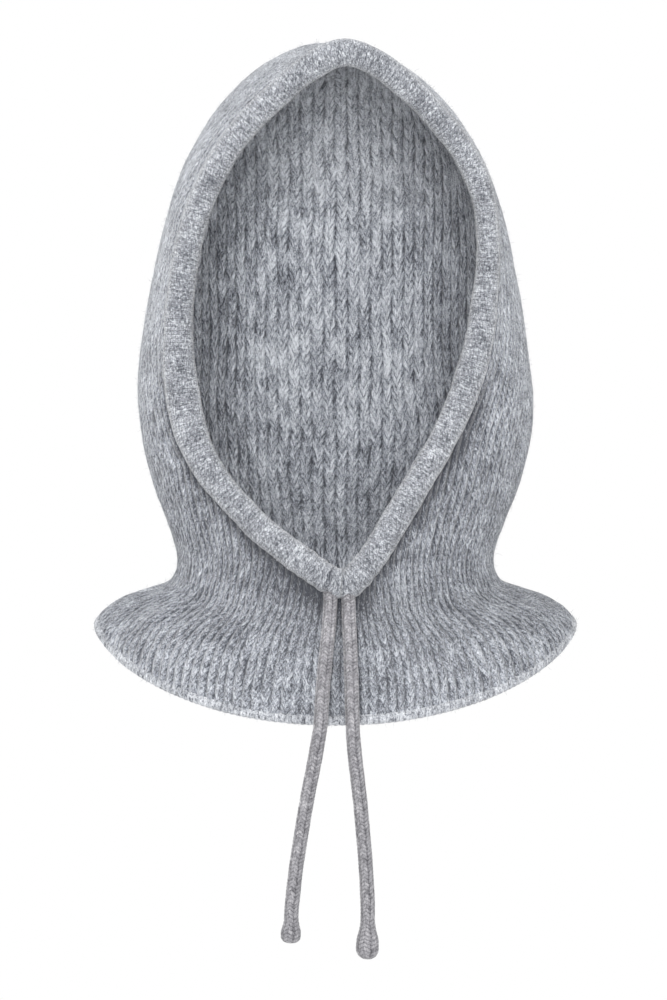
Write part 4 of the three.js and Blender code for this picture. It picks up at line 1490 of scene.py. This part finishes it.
@dataclass
class FreeCord:
    """A free end of the drawstring, a tube of knit whose wales run along it, with its thicker closed tip."""

    side: Side
    end: tuple[float, float, float]
    tip_diameter: float
    tip_length: float
    diameter: float = 7.8
    wales: int = 5
    course_height: float = 2.15
    samples_per_wale: int = 8
    step: float = 0.55
    relief: StitchRelief = StitchRelief(0.42, 0.24, 0.8, Unevenness(0.12, (1.1, 0.5), 41), roundness=2.0)
    least_radius: float = 0.02
    tip_step: float = 0.7
    tip_dome: float = 0.28
    # Share of the tip's length, share of the way from the cord's width to the tip's
    tip_rows: tuple[tuple[float, float], ...] = ((0.0, 0.0), (0.3, 0.45), (0.55, 0.95), (0.8, 1.0))

    @property
    def word(self) -> str:
        """The side's name in the names of pieces and nodes."""
        return self.side.name.lower()

    @property
    def route(self) -> np.ndarray:
        """Points of the cord's centre line, from the slit in the tube to the tip."""
        column = 2 if self.side is Side.LEFT else 3
        return np.array([*((row[column], *row[:2]) for row in CORD_ROWS), self.end])

    def tube(
        self,
        name: str,
        centre: np.ndarray,
        across: tuple[np.ndarray, np.ndarray],
        radius: np.ndarray,
        run: np.ndarray,
    ) -> bpy.types.Object:
        """A tube through rings, closed by a small fan at each end.

        Formula: a ring's point lies at its radius plus the stitch relief, at an equal share of a turn.

        Args:
            name: The piece's name.
            centre: Centres of the rings.
            across: The two directions across each ring.
            radius: Radius of each ring.
            run: Distance of each ring along the cord.

        Returns:
            The new piece.
        """
        size = self.wales * self.samples_per_wale
        turn = np.linspace(0, 1, size, endpoint=False)[None, :]
        wale = np.broadcast_to(turn * self.wales, (len(centre), size))
        course = np.broadcast_to(run[:, None] / self.course_height, wale.shape)
        ease = np.clip(radius / (self.diameter / 2), 0, 1)[:, None]
        height = (self.relief.height(wale, course) + self.relief.grain.at(wale, course)) * ease
        reach = np.maximum(radius[:, None] + height, self.least_radius)
        sideways, onward = (
            direction[:, None] * (reach * wave(turn * 2 * math.pi))[..., None]
            for direction, wave in zip(across, (np.cos, np.sin))
        )
        points = centre[:, None] + sideways + onward
        stitches = np.stack([wale, course, np.zeros_like(course)], axis=-1)
        body = grid_faces(*wale.shape, loop_rows=True)[:, [0, 3, 2, 1]]
        strip = np.arange(size // 2 - 1)
        cap = np.stack([strip, strip + 1, size - 2 - strip, size - 1 - strip], axis=-1)
        last = (len(centre) - 1) * size
        return make_piece(name, points, np.concatenate([body, cap[:, ::-1], cap + last]), stitches)

    def build(self) -> tuple[bpy.types.Object, bpy.types.Object]:
        """Formula: the rings stand a step apart along the route. The tip runs straight on and swells to its own
        width, and its end is a dome whose radius is the root of one minus the square of the way into it.

        Returns:
            The cord and the tip.
        """
        route = self.route
        fine = np.linspace(0, len(route) - 1, 2001)
        fine_run = distance_along(smooth_rows(route, fine))
        length = float(fine_run[-1])
        run = np.linspace(0, length, round(length / self.step))
        centre = smooth_rows(route, np.interp(run, fine_run, fine))
        tangent = unit(np.gradient(centre, axis=0))
        sideways = unit(np.cross(tangent, np.array([0.0, -1.0, 0.0])))
        onward = unit(np.cross(sideways, tangent))
        radius = np.full(len(run), self.diameter / 2)
        cord = self.tube(f"drawstring_{self.word}", centre, (sideways, onward), radius, run)

        share = np.linspace(0, 1, round(self.tip_length / (self.tip_step * self.step)))
        swell = soft_step(np.interp(share, *np.array(self.tip_rows).T))
        into_dome = np.clip((share - 1 + self.tip_dome) / self.tip_dome, 0, 1)
        tip_radius = mix(self.diameter, self.tip_diameter, swell) / 2 * np.sqrt(1 - into_dome**2)
        tip_run = share * self.tip_length
        tip_centre = centre[-1] + unit(centre[-1] - centre[-2]) * tip_run[:, None]
        across = tuple(np.broadcast_to(direction[-1], tip_centre.shape) for direction in (sideways, onward))
        tip = self.tube(f"tip_{self.word}", tip_centre, across, tip_radius, length + tip_run)
        return cord, tip


@dataclass(frozen=True)
class HeatherKnit:
    """Knitted heather yarn: grey wool spun from dark and pale fibres, matt, with a soft halo.

    The yarn's fibres show as streaks along each leg of a stitch and as flecks. Grooves between wales and the
    gaps between legs lie in shade. Real wool fibres are about 0.03 mm thick and wouldn't show, so streaks,
    strays and flecks are drawn as coarse as the tufts that the photo shows.
    """

    name: str
    dark: str = "#3c3f47"
    middle: str = "#9ca0a8"
    pale: str = "#dfe2e7"

    # Slope of the legs, the painted shade in grooves, gaps and the parting between legs, and the weight of the
    # stitch attribute's shade: painted shade in folds and elsewhere, painted light on the inside and random
    # tone
    slope: float = 1.4
    groove: float = 0.1
    gap: float = 0.22
    parting: float = 0.05
    fold: float = 0.6

    # Share of the tone that each layer changes
    streaks: float = 1.35
    strays: float = 0.9
    flecks: float = 1.2
    legs: float = 0.24
    cloud: float = 0.95

    # Streaks in the width and length of a leg, and how far the next column's streaks are from its own
    fibres_across: float = 4.6
    fibres_along: float = 2.8
    column_step: float = 7.31
    # Strays in a millimetre on three axes, which are turned, and the sizes of flecks and clouds
    strays_per_mm: tuple[float, float, float] = (1.3, 1.0, 0.38)
    stray_turn: tuple[float, float, float] = (0.5, 0.7, 0.35)
    fleck_mm: float = 0.6
    cloud_mm: float = 14.0

    # How far wales sway and courses rise and fall, in stitches, over which length
    unevenness: float = 0.35
    sway: float = 0.4
    sway_mm: float = 5.0
    rise: float = 1.2
    rise_mm: float = 3.7

    # Reach of parting and gap, power of the groove, and relative heights of gap, groove, streak, stray, fleck
    parting_reach: float = 0.3
    gap_reach: float = 0.25
    groove_power: float = 4.0
    heights: tuple[float, ...] = (-0.35, -0.4, 0.9, 0.6, 0.4)
    bump_mm: float = 0.6

    sheen: float = 0.45
    sheen_roughness: float = 0.55
    roughness: float = 0.95
    specular: float = 0.2

    @staticmethod
    def total(
        tree: bpy.types.NodeTree, start: float, layers: list[tuple[bpy.types.Node, float]]
    ) -> bpy.types.Node:
        """Adds up layers, each times its weight, to a start value.

        Args:
            tree: The material's node tree.
            start: The value to start from.
            layers: Nodes with their weights.

        Returns:
            The node that gives the sum.
        """
        value: Any = start
        for layer, weight in layers:
            inputs = {0: layer, 1: weight, 2: value}
            value = add_node(tree, "ShaderNodeMath", {"operation": "MULTIPLY_ADD"}, inputs)
        return value

    def uneven_stitches(
        self, tree: bpy.types.NodeTree, stitch: bpy.types.Node, place: bpy.types.NodeSocket
    ) -> tuple[bpy.types.Node, bpy.types.Node]:
        """Wale and course of a point, of which the wales sway and the courses rise and fall a little.

        Args:
            tree: The material's node tree.
            stitch: The stitch attribute's separated parts.
            place: Object coordinates.

        Returns:
            The wale and the course.
        """
        numbers = []
        for axis, cell_mm, share in (("X", self.sway_mm, self.sway), ("Y", self.rise_mm, self.rise)):
            inputs = {"Vector": place, "Scale": 1 / (cell_mm * METRES), "Detail": 1.0, "Roughness": 0.5}
            noise = add_node(tree, "ShaderNodeTexNoise", inputs=inputs)
            change = share * self.unevenness
            offset = self.total(tree, -change / 2, [(noise, change)])
            inputs = {0: stitch.outputs[axis], 1: offset}
            numbers.append(add_node(tree, "ShaderNodeMath", {"operation": "ADD"}, inputs))
        return numbers[0], numbers[1]

    def fibre_layers(
        self,
        tree: bpy.types.NodeTree,
        place: bpy.types.NodeSocket,
        wale: bpy.types.Node,
        across: bpy.types.Node,
        leg: bpy.types.Node,
    ) -> list[tuple[bpy.types.Node, float]]:
        """Streaks along the legs, strays over them, flecks, clouds and a tone of its own for every leg.

        Formula: streaks are noise on the way along a leg and across it, so it is drawn out along the leg.
        Strays are noise in a turned and stretched space, and flecks and clouds are plain noise.

        Args:
            tree: The material's node tree.
            place: Object coordinates.
            wale: Wale number.
            across: Way from the middle of the wale to its groove.
            leg: Number of the leg in its column, with the way through it.

        Returns:
            The layers, each with its share of the tone.
        """
        twice = add_node(tree, "ShaderNodeMath", {"operation": "MULTIPLY"}, {0: wale, 1: 2.0})
        column = add_node(tree, "ShaderNodeMath", {"operation": "FLOOR"}, {0: twice})
        row = add_node(tree, "ShaderNodeMath", {"operation": "FLOOR"}, {0: leg})
        number = add_node(tree, "ShaderNodeCombineXYZ", inputs={0: column, 1: row})
        own = add_node(tree, "ShaderNodeTexWhiteNoise", {"noise_dimensions": "3D"}, {"Vector": number})
        spans = ((leg, self.fibres_across), (across, self.fibres_along), (column, self.column_step))
        drawn_out = (
            add_node(tree, "ShaderNodeMath", {"operation": "MULTIPLY"}, {0: value, 1: cells})
            for value, cells in spans
        )
        along_leg = add_node(tree, "ShaderNodeCombineXYZ", inputs=dict(enumerate(drawn_out)))
        strays_scale = tuple(cells / METRES for cells in self.strays_per_mm)
        inputs = {"Vector": place, "Rotation": self.stray_turn, "Scale": strays_scale}
        turned = add_node(tree, "ShaderNodeMapping", inputs=inputs)
        layers = []
        for vector, scale, detail, roughness, share in (
            (along_leg, 1.0, 2.0, 0.65, self.streaks),
            (turned, 1.0, 1.0, 0.5, self.strays),
            (place, 1 / (self.fleck_mm * METRES), 1.0, 0.6, self.flecks),
            (place, 1 / (self.cloud_mm * METRES), 4.0, 0.85, self.cloud),
        ):
            inputs = {"Vector": vector, "Scale": scale, "Detail": detail, "Roughness": roughness}
            layers.append((add_node(tree, "ShaderNodeTexNoise", inputs=inputs), share))
        return [*layers, (own, self.legs)]

    def build(self) -> bpy.types.Material:
        """Makes the material.

        Formula: the tone goes from 0, dark, to 1, pale. It is one half, plus each layer of fibres about its own
        middle, less the painted shade in grooves, gaps and partings, and less the stitch attribute's shade,
        which paints shade in folds and elsewhere and light on the inside of the body.

        Returns:
            The material, which reads the stitch attribute and Object coordinates.
        """
        material = empty_material(self.name)
        tree = material.node_tree
        attribute = add_node(tree, "ShaderNodeAttribute", {"attribute_name": STITCH_ATTRIBUTE})
        stitch = add_node(tree, "ShaderNodeSeparateXYZ", inputs={0: attribute.outputs["Vector"]})
        place = add_node(tree, "ShaderNodeTexCoord").outputs["Object"]
        wale, course = self.uneven_stitches(tree, stitch, place)

        # Way from the middle of the wale to the groove, along the leg of a stitch, and from leg to leg
        half = add_node(tree, "ShaderNodeMath", {"operation": "PINGPONG"}, {0: wale, 1: 0.5})
        across = add_node(tree, "ShaderNodeMath", {"operation": "MULTIPLY"}, {0: half, 1: 2.0})
        groove = add_node(tree, "ShaderNodeMath", {"operation": "POWER"}, {0: across, 1: self.groove_power})
        inputs = {0: across, 1: -self.slope, 2: course}
        leg = add_node(tree, "ShaderNodeMath", {"operation": "MULTIPLY_ADD"}, inputs)
        near_gap = add_node(tree, "ShaderNodeMath", {"operation": "PINGPONG"}, {0: leg, 1: 0.5})
        parting, gap = (
            add_node(
                tree,
                "ShaderNodeMapRange",
                {"interpolation_type": "SMOOTHSTEP"},
                {"Value": value, "From Min": 0.0, "From Max": reach, "To Min": 1.0, "To Max": 0.0},
            )
            for value, reach in ((across, self.parting_reach), (near_gap, self.gap_reach))
        )

        layers = self.fibre_layers(tree, place, wale, across, leg)
        middle = 0.5 - sum(weight for _, weight in layers) / 2
        # Painted shade in grooves, gaps and partings, and the painted shade and light of the stitch attribute
        shades = [(groove, -self.groove), (gap, -self.gap), (parting, -self.parting)]
        tone = self.total(tree, middle, [*layers, *shades, (stitch.outputs["Z"], -self.fold)])
        ramp = add_node(tree, "ShaderNodeValToRGB", inputs={0: tone})
        spread_colours(ramp, self.dark, self.middle, self.pale)

        # Height of the legs and the fibres on them
        raised = [layer for layer, _ in layers[:3]]
        height = self.total(tree, 0.0, list(zip((gap, groove, *raised), self.heights)))
        inputs = {"Strength": 1.0, "Distance": self.bump_mm * METRES, "Height": height}
        bump = add_node(tree, "ShaderNodeBump", inputs=inputs)
        inputs = {
            "Base Color": ramp,
            "Roughness": self.roughness,
            "IOR": WOOL_IOR,
            "Specular IOR Level": self.specular,
            "Sheen Weight": self.sheen,
            "Sheen Roughness": self.sheen_roughness,
            "Normal": bump,
        }
        shader = add_node(tree, "ShaderNodeBsdfPrincipled", inputs=inputs)
        add_node(tree, "ShaderNodeOutputMaterial", inputs={"Surface": shader})
        return material


# Brushed ribs of thick yarn: soft V's with dark and pale wool, deep grooves and a halo
RIB_KNIT = HeatherKnit("brushed_heather_rib_knit")

# The same yarn bound off: flatter and paler stitches that lie along the edge
EDGE_KNIT = HeatherKnit(
    "bound_off_heather_edge",
    middle="#a6a9af",
    pale="#dfe1e5",
    slope=0.3,
    groove=0.2,
    gap=0.05,
    fibres_across=2.0,
    fibres_along=1.0,
    streaks=1.0,
    unevenness=0.6,
)

# Fine jersey of the same yarn, stretched round the tube: small uneven stitches with a sharper salt and pepper
JERSEY = HeatherKnit(
    "heather_jersey",
    middle="#8b8e94",
    pale="#d6d9de",
    slope=0.6,
    groove=0.24,
    gap=0.08,
    streaks=1.1,
    strays=1.0,
    fibres_across=1.8,
    fibres_along=1.3,
    unevenness=1.0,
    bump_mm=0.4,
)

# Smooth plain yarn knitted into a fine cord: warmer, darker and more even than the hood
CORD_KNIT = HeatherKnit(
    "fine_knitted_cord",
    dark="#4a494d",
    middle="#8b8a8e",
    pale="#cbc9cb",
    slope=0.8,
    groove=0.3,
    gap=0.22,
    streaks=0.7,
    strays=0.6,
    flecks=0.6,
    fibres_across=1.5,
    fibres_along=0.9,
    unevenness=0.3,
    cloud=0.3,
    bump_mm=0.3,
    sheen=0.25,
)


@dataclass(frozen=True)
class Lamp:
    """A square soft light that faces a point. Its lengths are in metres and its power in watts."""

    name: str
    place: tuple[float, float, float]
    aim: tuple[float, float, float]
    size: float
    power: float

    def build(self) -> None:
        """Adds the light."""
        data = bpy.data.lights.new(self.name, "AREA")
        data.shape, data.size, data.energy = "SQUARE", self.size, self.power
        lamp = add_object(self.name, data)
        lamp.location = self.place
        x, y, z = (place - aim for place, aim in zip(self.place, self.aim))
        lamp.rotation_euler = (math.atan2(math.hypot(x, y), z), 0.0, math.atan2(x, -y))


@dataclass(frozen=True)
class Studio:
    """Camera, white backdrop and soft light, as the photo has them."""

    camera_place: tuple[float, float, float] = (-1.2, -1900.0, -268.0)
    lens_mm: float = 114.0
    sensor_mm: float = 36.0
    clip_end: float = 30.0
    white: str = "#ffffff"
    ambient: float = 0.08
    lamps: tuple[Lamp, ...] = (
        Lamp("front", (0.0, -2.5, 0.0), (0.0, 0.0, -0.2), 0.8, 57.0),
        Lamp("top", (-0.8, -0.5, 1.9), (0.0, 0.0, -0.1), 1.2, 43.0),
        Lamp("left", (-2.2, 0.1, 0.2), (0.0, 0.0, -0.3), 1.2, 9.5),
        Lamp("right", (1.7, -0.2, 1.1), (0.0, 0.0, -0.3), 1.2, 22.0),
    )
    # Backdrop in metres: height of its floor, end of the level run, radius of the bend, front, sides and top
    floor: float = -0.64
    back: float = 1.6
    bend: float = 0.8
    front: float = -4.0
    half_width: float = 4.0
    top: float = 4.0

    def camera(self) -> None:
        """Sets the level camera that looks along +Y, with the whole frame's height on its sensor."""
        data = bpy.data.cameras.new("camera")
        data.lens, data.sensor_width, data.sensor_fit = self.lens_mm, self.sensor_mm, "AUTO"
        data.clip_end = self.clip_end
        camera = add_object("camera", data)
        camera.location = [METRES * value for value in self.camera_place]
        camera.rotation_euler = (math.pi / 2, 0.0, 0.0)
        bpy.context.scene.camera = camera

    def backdrop(self) -> None:
        """A floor that sweeps up behind the object: a level run, a quarter round and an upright run."""
        quarter = np.linspace(0, math.pi / 2, 13)
        y = np.concatenate([[self.front], self.back + self.bend * np.sin(quarter), [self.back + self.bend]])
        z = np.concatenate([[self.floor], self.floor + self.bend * (1 - np.cos(quarter)), [self.top]])
        points = [(x, *yz) for x in (-self.half_width, self.half_width) for yz in zip(y.tolist(), z.tolist())]
        count = len(y)
        faces = [(i, i + count, i + count + 1, i + 1) for i in range(count - 1)]
        mesh = bpy.data.meshes.new("backdrop")
        mesh.from_pydata(points, [], faces)
        mesh.shade_smooth()
        paper = empty_material("white_paper")
        tree = paper.node_tree
        inputs = {"Color": linear_colour(self.white), "Strength": 1.0}
        glow = add_node(tree, "ShaderNodeEmission", inputs=inputs)
        add_node(tree, "ShaderNodeOutputMaterial", inputs={"Surface": glow})
        mesh.materials.append(paper)
        add_object("backdrop", mesh)

    def build(self) -> None:
        """Sets up light, background and colour."""
        scene = bpy.context.scene
        scene.view_settings.view_transform = "Standard"
        scene.world = bpy.data.worlds.new("studio")
        scene.world.use_nodes = True
        background = scene.world.node_tree.nodes["Background"]
        background.inputs["Color"].default_value = linear_colour(self.white)
        background.inputs["Strength"].default_value = self.ambient
        for lamp in self.lamps:
            lamp.build()


def dress(piece: bpy.types.Object, material: bpy.types.Material, node: str) -> None:
    """Gives a piece its finish, hangs it on the root body, hides the CAD part that it stands for and logs its
    triangles.

    Args:
        piece: The piece.
        material: Its finish.
        node: The CAD node that it replaces.
    """
    piece.data.materials.append(material)
    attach(piece, "root")
    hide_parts(node)
    triangles = len(piece.data.loops) - 2 * len(piece.data.polygons)
    LOG.info("%s: %d triangles", piece.name, triangles)


def main() -> None:
    """Builds the scene: camera and cords first, then the hood."""
    logging.basicConfig(level=logging.INFO)
    studio = Studio()
    studio.camera()
    cord_knit = CORD_KNIT.build()
    for cord in (
        FreeCord(Side.LEFT, (-24.8, -121.8, -503.0), tip_diameter=11.0, tip_length=14.0),
        FreeCord(Side.RIGHT, (18.1, -121.8, -504.0), tip_diameter=12.6, tip_length=22.0),
    ):
        line, tip = cord.build()
        dress(line, cord_knit, f"cord_{cord.word}")
        dress(tip, cord_knit, f"cord_tip_{cord.word}")
    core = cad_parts["drawstring_core"]
    core.data.materials.clear()
    core.data.materials.append(cord_knit)

    form = HoodForm()
    body, edge, casing, fibres = KnitBody(form), HemEdge(form), FaceCasing(form), LooseFibres()
    rib_knit = RIB_KNIT.build()
    for piece in body.build().values():
        dress(piece, rib_knit, "knit_body")
    cape_edge = edge.build()
    dress(cape_edge, EDGE_KNIT.build(), "hem_edge")
    face_hem = casing.build()
    dress(face_hem, JERSEY.build(), "face_casing")
    body.declare([face_hem, cape_edge])
    outer = [(wall.grids[0], wall.normals[0], fibres.outside) for wall in body.walls]
    inner = [(wall.grids[1], wall.normals[1], fibres.inside) for wall in body.walls]
    halo = fibres.build([*outer, *inner, (*casing.surface, fibres.hem), (*edge.surface, fibres.edge)])
    dress(halo, LooseWool().build(), "knit_body")
    studio.backdrop()
    studio.build()


if __name__ == "__main__":
    main()
